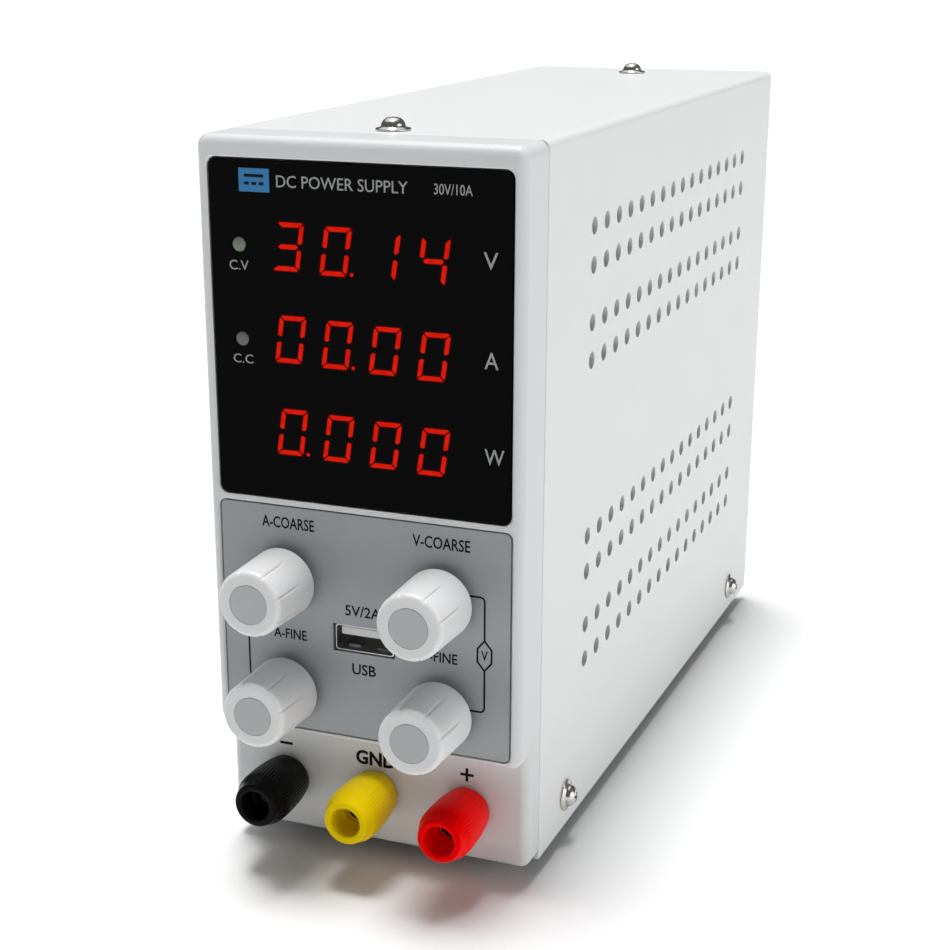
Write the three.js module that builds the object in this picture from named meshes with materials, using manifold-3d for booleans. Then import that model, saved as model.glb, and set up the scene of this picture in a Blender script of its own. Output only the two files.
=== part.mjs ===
// Bench power supply: a narrow upright case with a three-row meter window, four
// rotary knobs, a USB outlet and three screw-down binding posts on the front, and
// a fan, a mains inlet, a power switch and a voltage selector on the back.
//
// Units are millimetres. X is to the right seen from the front, the front faces -Y
// and Z is up. The shapes are worked out from the seam between the moulded front
// and the steel cover (Y = 0) and from the cover's lower edge (Z = 0). The last
// lines set the whole object on its feet, centred on its own box.

import * as THREE from 'three';
import { mergeVertices } from 'three/addons/utils/BufferGeometryUtils.js';
import Module from 'manifold-3d';

const wasm = await Module();
wasm.setup();

// ---- driving dimensions ----------------------------------------------------

const GAP = 0.3;                 // between pieces that touch

const CASE_W = 68.5;             // cover, outside
const CASE_H = 149.3;
const COVER_D = 185;
const SHEET = 1.2;               // steel of the cover, chassis and back
const SEAM = 0.5;                // shadow gap between the front and the cover
const CASE_R = 1.8;              // bend radius of the cover

const FACE_Y = -11.8;            // front plane of the moulded front
const CHIN_Y = -6.4;             // front plane of the lower step with the posts
const STEP_Z = 25.6;             // underside of the upper block
const WALL = 2.2;                // moulded walls
const FACE_WALL = 3.4;           // front wall behind window and overlay
const SKIRT_D = 12;              // lip of the front inside the cover
const LIP_WALL = 1.5;
const CHIN_BOTTOM = 0.8;
const EDGE = { chin: 1.4, upper: 1.6 };
const HOLE_CLEAR = 0.4;          // round studs and bushings in the walls

const INSET = 0.3;                // window and overlay behind the front plane
const WINDOW = { x: 31.6, z0: 77.4, z1: 144.8, r: 1.6, thick: 1.6 };
const OVERLAY = { x: 31.8, z0: 27.2, z1: 75.6, r: 1.2, thick: 0.8 };
const WINDOW_REST = { x: 3, z: 3.5 };
const METER_Z = { voltage: 128.0, current: 109.6, power: 90.5 };
const METER = { x: -0.5, width: 40.2, height: 12.8, depth: 6.2, y: -9.6 };
const MODE_LED_X = -25.4;
const MODE_LED_Z = { cv: 128.3, cc: 109.6 };
const LENS = { rTip: 0.9, r: 1.5, rFlange: 1.9, rHole: 1.85, flange: 1 };
const BOARD = 1.6;               // thickness of the circuit boards
const DISPLAY_BOARD = { x: 29.5, z: [79.5, 143] };
const CONTROL_BOARD = { x: 29, z: [29.5, 73] };

const KNOB_X = { current: -17.2, voltage: 17.2 };
const KNOB_Z = { coarse: 60.1, fine: 36.1 };
const KNOB = { rBase: 7.3, rFront: 6.95, length: 14.9, gap: 1.6, cap: 2.6 };
const GROOVE = { count: 8, first: 18, width: 0.7, length: 9.4, depth: 0.35 };
const SHAFT_R = 3;
const BUSHING_R = 4.2;
const POT = { x: 5, z: 5.75, depth: 6.8, blind: 1 };

const USB = { z: 48.9, width: 13.1, height: 5.7, wall: 0.3, depth: 14, behind: 0.8 };
const USB_OPENING = { x: 7.5, z: 3.3 };
const USB_TONGUE = { x: 5.6, z: [0.3, 2.1], behind: 0.9, heel: [5.9, 2.2] };

const POST_X = { minus: -20.8, ground: 0, plus: 20.8 };
const POST_Z = 12.6;
const POST = { rBase: 5.15, rFlare: 5.95, length: 15.5, rStud: 2.7, rBore: 2.05 };
const MOUTH = { r: 3.25, depth: 5, rEye: 2.35, floor: 1.4 };
const COLLAR = { r: 5, thick: 2 };
const WIRE_HOLE = { r: 1, ahead: 1.6 };

const FAN = { size: 60, depth: 15, z: 113, rBore: 28.2, rHub: 12, rTip: 27.4, corner: 4 };
const SPOKE = { count: 4, width: 3, thick: 2 };
const BLADE = { count: 7, stations: 4, pitch: 0.9, untwist: 0.35, sweep: 0.25 };
const CHORD = { half: 4, widen: 1.6, thick: 1 };
const GUARD = { radii: [7, 13, 19, 25], half: 1.9, bridge: 1.6 };
const PANEL_FLANGE = 25;

const BACK_Y = COVER_D - SHEET;  // outer face of the back panel
const PANEL_CLEAR = 0.35;        // round the fittings in the back panel
const INLET = { x: -14, z: 26, width: 30.5, height: 33, flange: 3, corner: 2 };
const INLET_BODY = { x: 13.6, z: 14.75, depth: 22 };
const INLET_MOUTH = { x: 12, z: 8.2, shoulderX: 7, shoulderZ: 3.2, depth: 13 };
const PIN = { x: 1, z: 2, depth: 14, places: [[-7, -2], [0, 2], [7, -2]] };
const SWITCH = { x: 18, z: 29, width: 15, height: 21, flange: 1.8, corner: 1.5, tilt: 10 };
const SWITCH_BODY = { x: 6.5, z: 9.5, depth: 14 };
const SWITCH_WELL = { x: 5.4, z: 8.6, depth: 7 };
const ROCKER = { width: 10, half: 7.6, belly: 4, end: 3.2, dip: 2.2 };
const SELECTOR = { x: 14, z: 62, travel: 4, halfX: 6.6, halfZ: 3.6, depth: 6 };
const SELECTOR_BODY = { x: 12.5, z: 6.5, depth: 10 };
const SLIDER = { z: 3.3, depth: 5.6, sunk: 0.5, slot: 1.2, slotDepth: 1.1 };

const VENT_ROWS = [129.4, 121.4, 109.5, 101.6, 63.3, 55.3, 43.1, 35.1];
const VENT = { r: 1.85, first: 29.1, pitch: 8.4, count: 16, sides: 6 };

const SCREW = { rFlange: 3.6, rHead: 2.45, flange: 0.6, height: 2.7, rShank: 1.25, length: 5.5 };
const LOW_SCREW = { ...SCREW, height: 0.9 };
const SCREW_HOLE_R = 1.6;
const TOP_SCREW_Y = { front: 6.2, rear: 167 };
const SIDE_SCREW = { front: [17.7, 7.4], rear: [163.5, 7.0] };
const FRONT_SCREW = [-6, 74.4];  // on the left side of the moulded front
const FOOT = { r: 5.5, taper: 0.8, height: 3.8, x: 24, y: [14, 168] };

const TRAY_H = 14;
const BOSS = { rTop: 2.5, rBase: 3.5, x: 24, y: [22, 154] };
const BOARD_Z = 8;               // underside of the main board
const MAIN_BOARD = { x: 28, y: [16, 160] };
const CORE = { x: 17, y: [72, 102], height: 30 };
const WINDING = { x: 12.5, y: [66, 108], z: [3.5, 26.5] };
const HEAT_SINK = { back: 27.5, face: 25, tip: 19, fins: 6, pitch: 8, thick: 1.8, y: [58, 122] };
const INPUT_CAPACITOR = { x: -14, y: 140, r: 11, height: 34 };
const OUTPUT_CAPACITOR = { x: -18, y: 38, r: 8, height: 25 };
const INLET_MOUTH_Z = INLET.z + 5.2;
const DRAWER = { x: 11.4, half: 3.3, z: INLET.z - 10.2, depth: 18.5, proud: 0.5 };
const GRIP = { x: 4, z: 1, depth: 1.5 };
const SWITCH_PIVOT_Y = BACK_Y + 0.8;

// ---- materials -------------------------------------------------------------

const finish = (color, roughness, metalness = 0) =>
  new THREE.MeshStandardMaterial({ color, roughness, metalness });

const POWDER_COAT = finish(0xeef0ef, 0.55);
const FRONT_PLASTIC = finish(0xe4e6e7, 0.45);
const WINDOW_BLACK = finish(0x08080a, 0.08);
const OVERLAY_GREY = finish(0x969ca0, 0.5);
const KNOB_WHITE = finish(0xf2f3f3, 0.4);
const STEEL = finish(0xb9bcbf, 0.35, 1);
const NICKEL = finish(0xc9c5bb, 0.25, 1);
const BRASS = finish(0xc7a34a, 0.3, 1);
const ALUMINIUM = finish(0xaeb2b6, 0.4, 1);
const BLACK_PLASTIC = finish(0x151515, 0.45);
const RUBBER = finish(0x1c1c1c, 0.8);
const BOARD_GREEN = finish(0x1d5a34, 0.5);
const METER_RED = finish(0xe01208, 0.3);
const LED_GREEN = finish(0x8f9c90, 0.3);
const POST_COLOURS = {
  minus: finish(0x101010, 0.4),
  ground: finish(0xe6cf10, 0.35),
  plus: finish(0xe31212, 0.35),
};
const SWITCH_RED = finish(0xb41414, 0.4);
const BLUE_SLEEVE = finish(0x27417a, 0.35);
const FERRITE = finish(0x3a3a3c, 0.6);

// ---- shapes ----------------------------------------------------------------

const unit = new THREE.Group();

function solidFrom(geometry) {
  const bare = new THREE.BufferGeometry();
  bare.setAttribute('position', geometry.getAttribute('position').clone());
  if (geometry.index) bare.setIndex(geometry.index.clone());
  const merged = mergeVertices(bare, 1e-4);
  const points = merged.getAttribute('position').array;
  const corners = [];
  let volume = 0;
  for (let i = 0; i < merged.index.count; i += 3) {
    const [a, b, c] = [0, 1, 2].map((k) => merged.index.getX(i + k));
    if (a === b || b === c || c === a) continue;
    corners.push(a, b, c);
    const [p, q, r] = [a, b, c].map((k) => new THREE.Vector3().fromArray(points, 3 * k));
    volume += p.dot(q.cross(r));
  }
  if (volume < 0) corners.reverse();
  return new wasm.Manifold(new wasm.Mesh({
    numProp: 3,
    vertProperties: new Float32Array(points),
    triVerts: new Uint32Array(corners),
  }));
}

function geometryFrom(solid) {
  const mesh = solid.getMesh();
  const geometry = new THREE.BufferGeometry();
  geometry.setAttribute('position', new THREE.BufferAttribute(mesh.vertProperties, 3));
  geometry.setIndex(new THREE.BufferAttribute(mesh.triVerts, 1));
  geometry.computeVertexNormals();
  return geometry;
}

function addPiece(name, solid, material) {
  const mesh = new THREE.Mesh(geometryFrom(solid), material);
  mesh.name = name;
  unit.add(mesh);
}

const around = (centre, half) => [centre - half, centre + half];

const join = (solids) => solids.reduce((sum, next) => sum.add(next));
const cut = (solid, tools) => tools.reduce((rest, tool) => rest.subtract(tool), solid);

// A rectangular block between two corners.
function block([x0, x1], [y0, y1], [z0, z1]) {
  const geometry = new THREE.BoxGeometry(x1 - x0, y1 - y0, z1 - z0);
  geometry.translate((x0 + x1) / 2, (y0 + y1) / 2, (z0 + z1) / 2);
  return solidFrom(geometry);
}

// Points round a rectangle with rounded corners, in X and Z.
function roundedOutline([x0, x1], [z0, z1], radius, steps = 3) {
  const centres = [[x1, z0, -0.5], [x1, z1, 0], [x0, z1, 0.5], [x0, z0, 1]];
  const points = [];
  for (const [x, z, quarter] of centres) {
    const cx = x - Math.sign(x - x0 || -1) * radius;
    const cz = z - Math.sign(z - z0 || -1) * radius;
    for (let i = 0; i <= steps; i += 1) {
      const angle = (quarter + (0.5 * i) / steps) * Math.PI;
      points.push(new THREE.Vector2(cx + radius * Math.cos(angle), cz + radius * Math.sin(angle)));
    }
  }
  return points;
}

// The outline of the window or the overlay, grown by a margin.
function outlineOf({ x, z0, z1, r }, margin = 0) {
  return roundedOutline([-x - margin, x + margin], [z0 - margin, z1 + margin], r + margin);
}

function polygonOutline(x, z, radius, sides, turn = 0) {
  const points = [];
  for (let i = 0; i < sides; i += 1) {
    const angle = turn + (2 * Math.PI * i) / sides;
    points.push(new THREE.Vector2(x + radius * Math.cos(angle), z + radius * Math.sin(angle)));
  }
  return points;
}

// An outline in X and Z, made solid from y0 to y1. A bevel rounds both ends.
function slab(points, [y0, y1], bevel = 0) {
  const geometry = new THREE.ExtrudeGeometry(new THREE.Shape(points), {
    depth: y1 - y0 - 2 * bevel,
    bevelEnabled: bevel > 0,
    bevelSize: bevel,
    bevelThickness: bevel,
    bevelOffset: -bevel,
    bevelSegments: 3,
  });
  geometry.translate(0, 0, bevel);
  geometry.rotateX(Math.PI / 2);
  geometry.translate(0, y1, 0);
  return solidFrom(geometry);
}

const rod = (x, z, radius, span, sides = 16) =>
  slab(polygonOutline(x, z, radius, sides, Math.PI / sides), span);

// A profile of [radius, y] points turned about a line along Y through x, z.
function turned(profile, x, z, sides = 20) {
  const points = profile.map(([r, y]) => new THREE.Vector2(r, y));
  const geometry = new THREE.LatheGeometry(points, sides);
  geometry.translate(x, 0, z);
  return solidFrom(geometry);
}

// The same profile turned about a vertical line: [radius, z] points.
function turnedUpright(profile, x, y, sides = 16) {
  const points = profile.map(([r, z]) => new THREE.Vector2(r, z));
  const geometry = new THREE.LatheGeometry(points, sides);
  geometry.rotateX(Math.PI / 2);
  geometry.translate(x, y, 0);
  return solidFrom(geometry);
}

// ---- steel case ------------------------------------------------------------

const HALF_W = CASE_W / 2;
const INNER_X = HALF_W - SHEET;
const FIT_X = INNER_X - GAP;
const FIT_TOP = CASE_H - SHEET - GAP;

// A screw hole from side to side, or down through the top.
function crossHole(y, z, length, x = 0) {
  const hole = new THREE.CylinderGeometry(SCREW_HOLE_R, SCREW_HOLE_R, length, 12);
  hole.rotateZ(Math.PI / 2);
  hole.translate(x, y, z);
  return solidFrom(hole);
}

function topHole(y) {
  const hole = new THREE.CylinderGeometry(SCREW_HOLE_R, SCREW_HOLE_R, 12, 12);
  hole.rotateX(Math.PI / 2);
  hole.translate(0, y, CASE_H - 2);
  return solidFrom(hole);
}

function makeCover() {
  const outer = [
    new THREE.Vector2(-HALF_W, 0),
    ...roundedOutline([-HALF_W, HALF_W], [-10, CASE_H], CASE_R).slice(4, 12).reverse(),
    new THREE.Vector2(HALF_W, 0),
  ];
  const shell = slab(outer, [SEAM, COVER_D]);
  const hollow = slab(
    roundedOutline([-INNER_X, INNER_X], [-20, CASE_H - SHEET], CASE_R - SHEET, 2),
    [-1, COVER_D + 1],
  );
  const holes = [];
  for (const z of VENT_ROWS) {
    for (let i = 0; i < VENT.count; i += 1) {
      const hole = new THREE.CylinderGeometry(VENT.r, VENT.r, CASE_W + 4, VENT.sides);
      hole.rotateZ(Math.PI / 2);
      hole.translate(0, VENT.first + i * VENT.pitch, z);
      holes.push(solidFrom(hole));
    }
  }
  for (const [y, z] of Object.values(SIDE_SCREW)) holes.push(crossHole(y, z, CASE_W + 4));
  for (const y of Object.values(TOP_SCREW_Y)) holes.push(topHole(y));
  return cut(shell, [hollow, ...holes]);
}

// The floor is a tray: low sides that the cover's lower screws go into, and four
// pressed bosses that carry the main board.
function makeChassis() {
  const floor = block([-FIT_X, FIT_X], [SEAM, BACK_Y], [0, SHEET]);
  const sideSpan = [SKIRT_D + 2 * GAP, BACK_Y - SHEET - GAP];
  const left = block([-FIT_X, SHEET - FIT_X], sideSpan, [0, TRAY_H]);
  const right = block([FIT_X - SHEET, FIT_X], sideSpan, [0, TRAY_H]);
  const bosses = [];
  for (const x of [-BOSS.x, BOSS.x]) {
    for (const y of BOSS.y) {
      const boss = new THREE.CylinderGeometry(BOSS.rTop, BOSS.rBase, BOARD_Z - GAP, 10);
      boss.rotateX(Math.PI / 2);
      boss.translate(x, y, (BOARD_Z - GAP) / 2);
      bosses.push(solidFrom(boss));
    }
  }
  const holes = Object.values(SIDE_SCREW).map(([y, z]) => crossHole(y, z, CASE_W));
  return cut(join([floor, left, right, ...bosses]), holes);
}

const THROUGH_PANEL = [BACK_Y - 3, BACK_Y + 2];

// One arc-shaped slot of the finger guard that is punched in front of the fan.
function guardSlot(radius, quarter) {
  const bridge = GUARD.bridge / radius;
  const from = (quarter * Math.PI) / 2 + bridge;
  const to = ((quarter + 1) * Math.PI) / 2 - bridge;
  const steps = Math.ceil(radius / 5);
  const points = [];
  for (const [r, a, b] of [[radius + GUARD.half, from, to], [radius - GUARD.half, to, from]]) {
    for (let i = 0; i <= steps; i += 1) {
      const angle = a + ((b - a) * i) / steps;
      points.push(new THREE.Vector2(r * Math.cos(angle), FAN.z + r * Math.sin(angle)));
    }
  }
  return slab(points, THROUGH_PANEL);
}

const panelOpening = ({ x, z }, halfX, halfZ) =>
  block(around(x, halfX), THROUGH_PANEL, around(z, halfZ));

// The back panel has a flange along its top for the rear cover screw.
function makeBackPanel() {
  const plate = block([-FIT_X, FIT_X], [BACK_Y - SHEET, BACK_Y], [SHEET + GAP, FIT_TOP]);
  const flange = block([-FIT_X, FIT_X], [BACK_Y - PANEL_FLANGE, BACK_Y], [FIT_TOP - SHEET, FIT_TOP]);
  const slots = [];
  for (const radius of GUARD.radii) {
    for (let quarter = 0; quarter < 4; quarter += 1) slots.push(guardSlot(radius, quarter));
  }
  return cut(join([plate, flange]), [
    ...slots,
    topHole(TOP_SCREW_Y.rear),
    panelOpening(INLET, INLET_BODY.x + PANEL_CLEAR, INLET_BODY.z + PANEL_CLEAR),
    panelOpening(SWITCH, SWITCH_BODY.x + PANEL_CLEAR, SWITCH_BODY.z + PANEL_CLEAR),
    panelOpening(SELECTOR, SELECTOR.halfX, SELECTOR.halfZ),
  ]);
}

// A flanged pan-head screw. Its head is at y = 0 and its shank points to -Y.
function screwProfile({ rFlange, rHead, flange, height, rShank, length }) {
  return [
    [0, -length], [rShank, -length], [rShank, GAP], [rFlange, GAP], [rFlange, GAP + flange],
    [rHead, GAP + flange], [rHead * 0.86, GAP + height * 0.75],
    [rHead * 0.5, GAP + height], [0, GAP + height],
  ];
}

function makeScrew([x, y, z], facing, size = SCREW) {
  const points = screwProfile(size).map(([r, along]) => new THREE.Vector2(r, along));
  const geometry = new THREE.LatheGeometry(points, 10);
  if (facing === 'up') geometry.rotateX(Math.PI / 2);
  if (facing === 'right') geometry.rotateZ(-Math.PI / 2);
  if (facing === 'left') geometry.rotateZ(Math.PI / 2);
  geometry.translate(x, y, z);
  return solidFrom(geometry);
}

function makeFoot(x, y) {
  const { r, taper, height } = FOOT;
  return turnedUpright([[0, -height], [r - taper, -height], [r, -GAP], [0, -GAP]], x, y);
}

addPiece('top_cover', makeCover(), POWDER_COAT);
addPiece('base_chassis', makeChassis(), STEEL);
addPiece('rear_panel', makeBackPanel(), POWDER_COAT);
for (const [end, y] of Object.entries(TOP_SCREW_Y)) {
  addPiece(`top_screw_${end}`, makeScrew([0, y, CASE_H], 'up'), NICKEL);
}
for (const [end, [y, z]] of Object.entries(SIDE_SCREW)) {
  addPiece(`left_screw_${end}`, makeScrew([-HALF_W, y, z], 'left'), NICKEL);
  addPiece(`right_screw_${end}`, makeScrew([HALF_W, y, z], 'right'), NICKEL);
}
addPiece('bezel_screw', makeScrew([-HALF_W, ...FRONT_SCREW], 'left', LOW_SCREW), NICKEL);
for (const [side, x] of [['left', -FOOT.x], ['right', FOOT.x]]) {
  addPiece(`foot_front_${side}`, makeFoot(x, FOOT.y[0]), RUBBER);
  addPiece(`foot_rear_${side}`, makeFoot(x, FOOT.y[1]), RUBBER);
}

// ---- moulded front ---------------------------------------------------------

const KNOB_PLACES = [];
for (const [kind, x] of Object.entries(KNOB_X)) {
  for (const [range, z] of Object.entries(KNOB_Z)) KNOB_PLACES.push([`${kind}_${range}`, x, z]);
}

const shaftHoles = (span) => KNOB_PLACES.map(([, x, z]) => rod(x, z, BUSHING_R + HOLE_CLEAR, span));

const usbOpening = (span) =>
  block(around(0, USB_OPENING.x), span, around(USB.z, USB_OPENING.z));

// The upper block stands forward of the chin. A lip behind slides into the cover.
function makeBezel() {
  const faceX = [-HALF_W, HALF_W];
  const chin = slab(roundedOutline(faceX, [CHIN_BOTTOM, CASE_H], CASE_R), [CHIN_Y, 4], EDGE.chin);
  const upper = slab(roundedOutline(faceX, [STEP_Z, CASE_H], CASE_R), [FACE_Y, 4], EDGE.upper);
  const behind = block([-CASE_W, CASE_W], [0, 20], [-10, CASE_H + 10]);
  const lip = block([-FIT_X, FIT_X], [-2, SKIRT_D], [SHEET + GAP, FIT_TOP]);
  const hollowX = [-FIT_X + LIP_WALL, FIT_X - LIP_WALL];
  const hollowTop = FIT_TOP - LIP_WALL;
  const openBack = SKIRT_D + 1;
  const pocketFor = (plate) => slab(
    outlineOf(plate, GAP),
    [FACE_Y - 1, FACE_Y + INSET + plate.thick + GAP],
  );
  const wall = [FACE_Y - 1, FACE_Y + FACE_WALL + 1];
  return cut(join([cut(join([chin, upper]), [behind]), lip]), [
    block(hollowX, [FACE_Y + FACE_WALL, openBack], [STEP_Z + WALL, hollowTop]),
    block(hollowX, [CHIN_Y + WALL, openBack], [SHEET + GAP + LIP_WALL, hollowTop]),
    pocketFor(WINDOW),
    pocketFor(OVERLAY),
    block(around(0, WINDOW.x - WINDOW_REST.x), wall,
      [WINDOW.z0 + WINDOW_REST.z, WINDOW.z1 - WINDOW_REST.z]),
    ...shaftHoles(wall),
    usbOpening(wall),
    ...Object.values(POST_X).map(
      (x) => rod(x, POST_Z, POST.rStud + HOLE_CLEAR, [CHIN_Y - 1, 0]),
    ),
    topHole(TOP_SCREW_Y.front),
    crossHole(...FRONT_SCREW, 12, -HALF_W),
  ]);
}

const FACE_INSET_Y = FACE_Y + INSET;

function makeWindow() {
  const plate = slab(outlineOf(WINDOW), [FACE_INSET_Y, FACE_INSET_Y + WINDOW.thick]);
  const holes = Object.values(MODE_LED_Z).map(
    (z) => rod(MODE_LED_X, z, LENS.rHole, [FACE_Y - 1, FACE_Y + 4]),
  );
  return cut(plate, holes);
}

function makeOverlay() {
  const plate = slab(outlineOf(OVERLAY), [FACE_INSET_Y, FACE_INSET_Y + OVERLAY.thick]);
  const through = [FACE_Y - 1, FACE_Y + 3];
  return cut(plate, [...shaftHoles(through), usbOpening(through)]);
}

addPiece('front_bezel', makeBezel(), FRONT_PLASTIC);
addPiece('display_window', makeWindow(), WINDOW_BLACK);
addPiece('control_overlay', makeOverlay(), OVERLAY_GREY);

// ---- meters ----------------------------------------------------------------

const METER_BACK = METER.y + METER.depth;

for (const [quantity, z] of Object.entries(METER_Z)) {
  const body = block(around(METER.x, METER.width / 2), [METER.y, METER_BACK],
    around(z, METER.height / 2));
  addPiece(`${quantity}_display`, body, METER_RED);
}

for (const [mode, z] of Object.entries(MODE_LED_Z)) {
  const lens = turned([
    [0, FACE_INSET_Y], [LENS.rTip, FACE_INSET_Y + 0.15], [LENS.r, FACE_INSET_Y + 0.8],
    [LENS.r, METER_BACK - LENS.flange], [LENS.rFlange, METER_BACK - LENS.flange],
    [LENS.rFlange, METER_BACK], [0, METER_BACK],
  ], MODE_LED_X, z, 12);
  addPiece(`${mode}_led`, lens, LED_GREEN);
}

const boardBehind = (y, { x, z }) => block([-x, x], [y + GAP, y + GAP + BOARD], z);
addPiece('display_board', boardBehind(METER_BACK, DISPLAY_BOARD), BOARD_GREEN);

// ---- knobs and potentiometers ----------------------------------------------

const KNOB_REAR = FACE_Y - KNOB.gap;
const KNOB_FRONT = KNOB_REAR - KNOB.length;
const POT_FRONT = FACE_Y + FACE_WALL + GAP;
const POT_BACK = POT_FRONT + POT.depth;
const SHAFT_BORE_R = SHAFT_R + 0.35;

function makeKnob(x, z) {
  const { rBase, rFront, cap } = KNOB;
  const body = turned([
    [0, KNOB_FRONT + cap], [SHAFT_BORE_R, KNOB_FRONT + cap], [SHAFT_BORE_R, KNOB_REAR],
    [rBase, KNOB_REAR], [rFront + 0.1, KNOB_FRONT + 0.9], [rFront - 0.3, KNOB_FRONT + 0.25],
    [rFront - 0.9, KNOB_FRONT], [0, KNOB_FRONT],
  ], x, z, 18);
  const cuts = [];
  for (let i = 0; i < GROOVE.count; i += 1) {
    const groove = new THREE.BoxGeometry(2, GROOVE.length + 1, GROOVE.width);
    groove.translate(rFront - GROOVE.depth + 1, KNOB_FRONT + (GROOVE.length - 1) / 2, 0);
    groove.rotateY(-(GROOVE.first * Math.PI) / 180 - (i * 2 * Math.PI) / GROOVE.count);
    groove.translate(x, 0, z);
    cuts.push(solidFrom(groove));
  }
  return cut(body, cuts);
}

function makePotentiometer(x, z) {
  const body = block(around(x, POT.x), [POT_FRONT, POT_BACK], around(z, POT.z));
  const bushing = rod(x, z, BUSHING_R, [FACE_Y, POT_FRONT + 1]);
  return cut(join([body, bushing]), [rod(x, z, SHAFT_BORE_R, [FACE_Y - 1, POT_BACK - POT.blind])]);
}

for (const [name, x, z] of KNOB_PLACES) {
  addPiece(`${name}_knob`, makeKnob(x, z), KNOB_WHITE);
  const shaftSpan = [KNOB_FRONT + KNOB.cap + GAP, POT_BACK - POT.blind - 0.5];
  addPiece(`${name}_shaft`, rod(x, z, SHAFT_R, shaftSpan), ALUMINIUM);
  addPiece(`${name}_potentiometer`, makePotentiometer(x, z), STEEL);
}

const controlBoard = boardBehind(POT_BACK, CONTROL_BOARD);
addPiece('control_board', cut(controlBoard, [usbOpening([-20, 20])]), BOARD_GREEN);

// ---- USB outlet ------------------------------------------------------------

const USB_FRONT = FACE_Y + USB.behind;
const usbSpan = [USB_FRONT, USB_FRONT + USB.depth];
const usbShell = cut(
  block(around(0, USB.width / 2), usbSpan, around(USB.z, USB.height / 2)),
  [block(around(0, USB.width / 2 - USB.wall), [USB_FRONT - 1, USB_FRONT + USB.depth + 1],
    around(USB.z, USB.height / 2 - USB.wall))],
);
addPiece('usb_socket_shell', usbShell, STEEL);

const usbTongue = join([
  block(around(0, USB_TONGUE.x), [USB_FRONT + USB_TONGUE.behind, usbSpan[1] - 1],
    USB_TONGUE.z.map((z) => USB.z + z)),
  block(around(0, USB_TONGUE.heel[0]), [usbSpan[1] - 2.5, usbSpan[1] - 0.5],
    around(USB.z, USB_TONGUE.heel[1])),
]);
addPiece('usb_tongue', usbTongue, FRONT_PLASTIC);

// ---- binding posts ---------------------------------------------------------

const CAP_REAR = CHIN_Y - GAP;
const CAP_NOSE = CAP_REAR - POST.length;
const CAP_FLOOR = CAP_NOSE + MOUTH.depth;
const CAP_INNER_FLOOR = CAP_FLOOR + MOUTH.floor;
const INSERT_R = [POST.rStud + GAP, POST.rStud + 1];
const CAP_POCKET_R = INSERT_R[1] + GAP;

// The stud carries the 4 mm socket. A hexagonal collar holds it behind the chin.
function makeStud(x) {
  const tip = CAP_INNER_FLOOR + 0.2;
  const shank = rod(x, POST_Z, POST.rStud, [tip, 9], 14);
  const seat = CHIN_Y + WALL + GAP;
  const collar = slab(polygonOutline(x, POST_Z, COLLAR.r, 6), [seat, seat + COLLAR.thick]);
  const wireHole = new THREE.CylinderGeometry(WIRE_HOLE.r, WIRE_HOLE.r, 12, 10);
  wireHole.rotateX(Math.PI / 2);
  wireHole.translate(x, CAP_REAR - WIRE_HOLE.ahead, POST_Z);
  const socket = rod(x, POST_Z, POST.rBore, [tip - 1, 3], 14);
  return cut(join([shank, collar]), [socket, solidFrom(wireHole)]);
}

function makeInsert(x) {
  const [inner, outer] = INSERT_R;
  const from = CAP_INNER_FLOOR + 0.4;
  const to = CAP_REAR - 2 * GAP;
  const section = [[inner, from], [inner, to], [outer, to], [outer, from], [inner, from]];
  return turned(section, x, POST_Z, 14);
}

// Barrel-shaped, with a cone round its mouth. A pocket behind takes the insert.
function makeCap(x) {
  const { rBase, rFlare } = POST;
  return turned([
    [CAP_POCKET_R, CAP_REAR], [rBase, CAP_REAR], [rFlare - 0.1, CAP_REAR - 4.5],
    [rFlare, CAP_REAR - 8], [rFlare - 0.2, CAP_NOSE + 3.3], [rFlare - 0.6, CAP_NOSE + 2.8],
    [rFlare - 1.25, CAP_NOSE + 0.8], [rFlare - 1.9, CAP_NOSE],
    [MOUTH.r, CAP_NOSE], [MOUTH.r, CAP_FLOOR], [MOUTH.rEye, CAP_FLOOR],
    [MOUTH.rEye, CAP_INNER_FLOOR], [CAP_POCKET_R, CAP_INNER_FLOOR], [CAP_POCKET_R, CAP_REAR],
  ], x, POST_Z, 18);
}

for (const [pole, x] of Object.entries(POST_X)) {
  addPiece(`${pole}_post_stud`, makeStud(x), NICKEL);
  addPiece(`${pole}_post_insert`, makeInsert(x), BRASS);
  addPiece(`${pole}_post_cap`, makeCap(x), POST_COLOURS[pole]);
}

// ---- fan -------------------------------------------------------------------

const FAN_BACK = BACK_Y - SHEET - GAP;
const FAN_FRONT = FAN_BACK - FAN.depth;
const halfFan = FAN.size / 2;

function makeFanFrame() {
  const box = slab(
    roundedOutline(around(0, halfFan), around(FAN.z, halfFan), FAN.corner),
    [FAN_FRONT, FAN_BACK],
  );
  const bore = rod(0, FAN.z, FAN.rBore, [FAN_FRONT - 1, FAN_BACK + 1], 36);
  const seat = rod(0, FAN.z, FAN.rHub + 0.8, [FAN_FRONT, FAN_FRONT + SPOKE.thick], 20);
  const spokes = [];
  for (let i = 0; i < SPOKE.count; i += 1) {
    const spoke = new THREE.BoxGeometry(halfFan, SPOKE.thick, SPOKE.width);
    spoke.translate((halfFan + FAN.rHub) / 2, FAN_FRONT + SPOKE.thick / 2, 0);
    spoke.rotateY(((i + 0.5) * 2 * Math.PI) / SPOKE.count);
    spoke.translate(0, 0, FAN.z);
    spokes.push(solidFrom(spoke));
  }
  return join([cut(box, [bore]), join([seat, ...spokes]).intersect(box)]);
}

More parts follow.
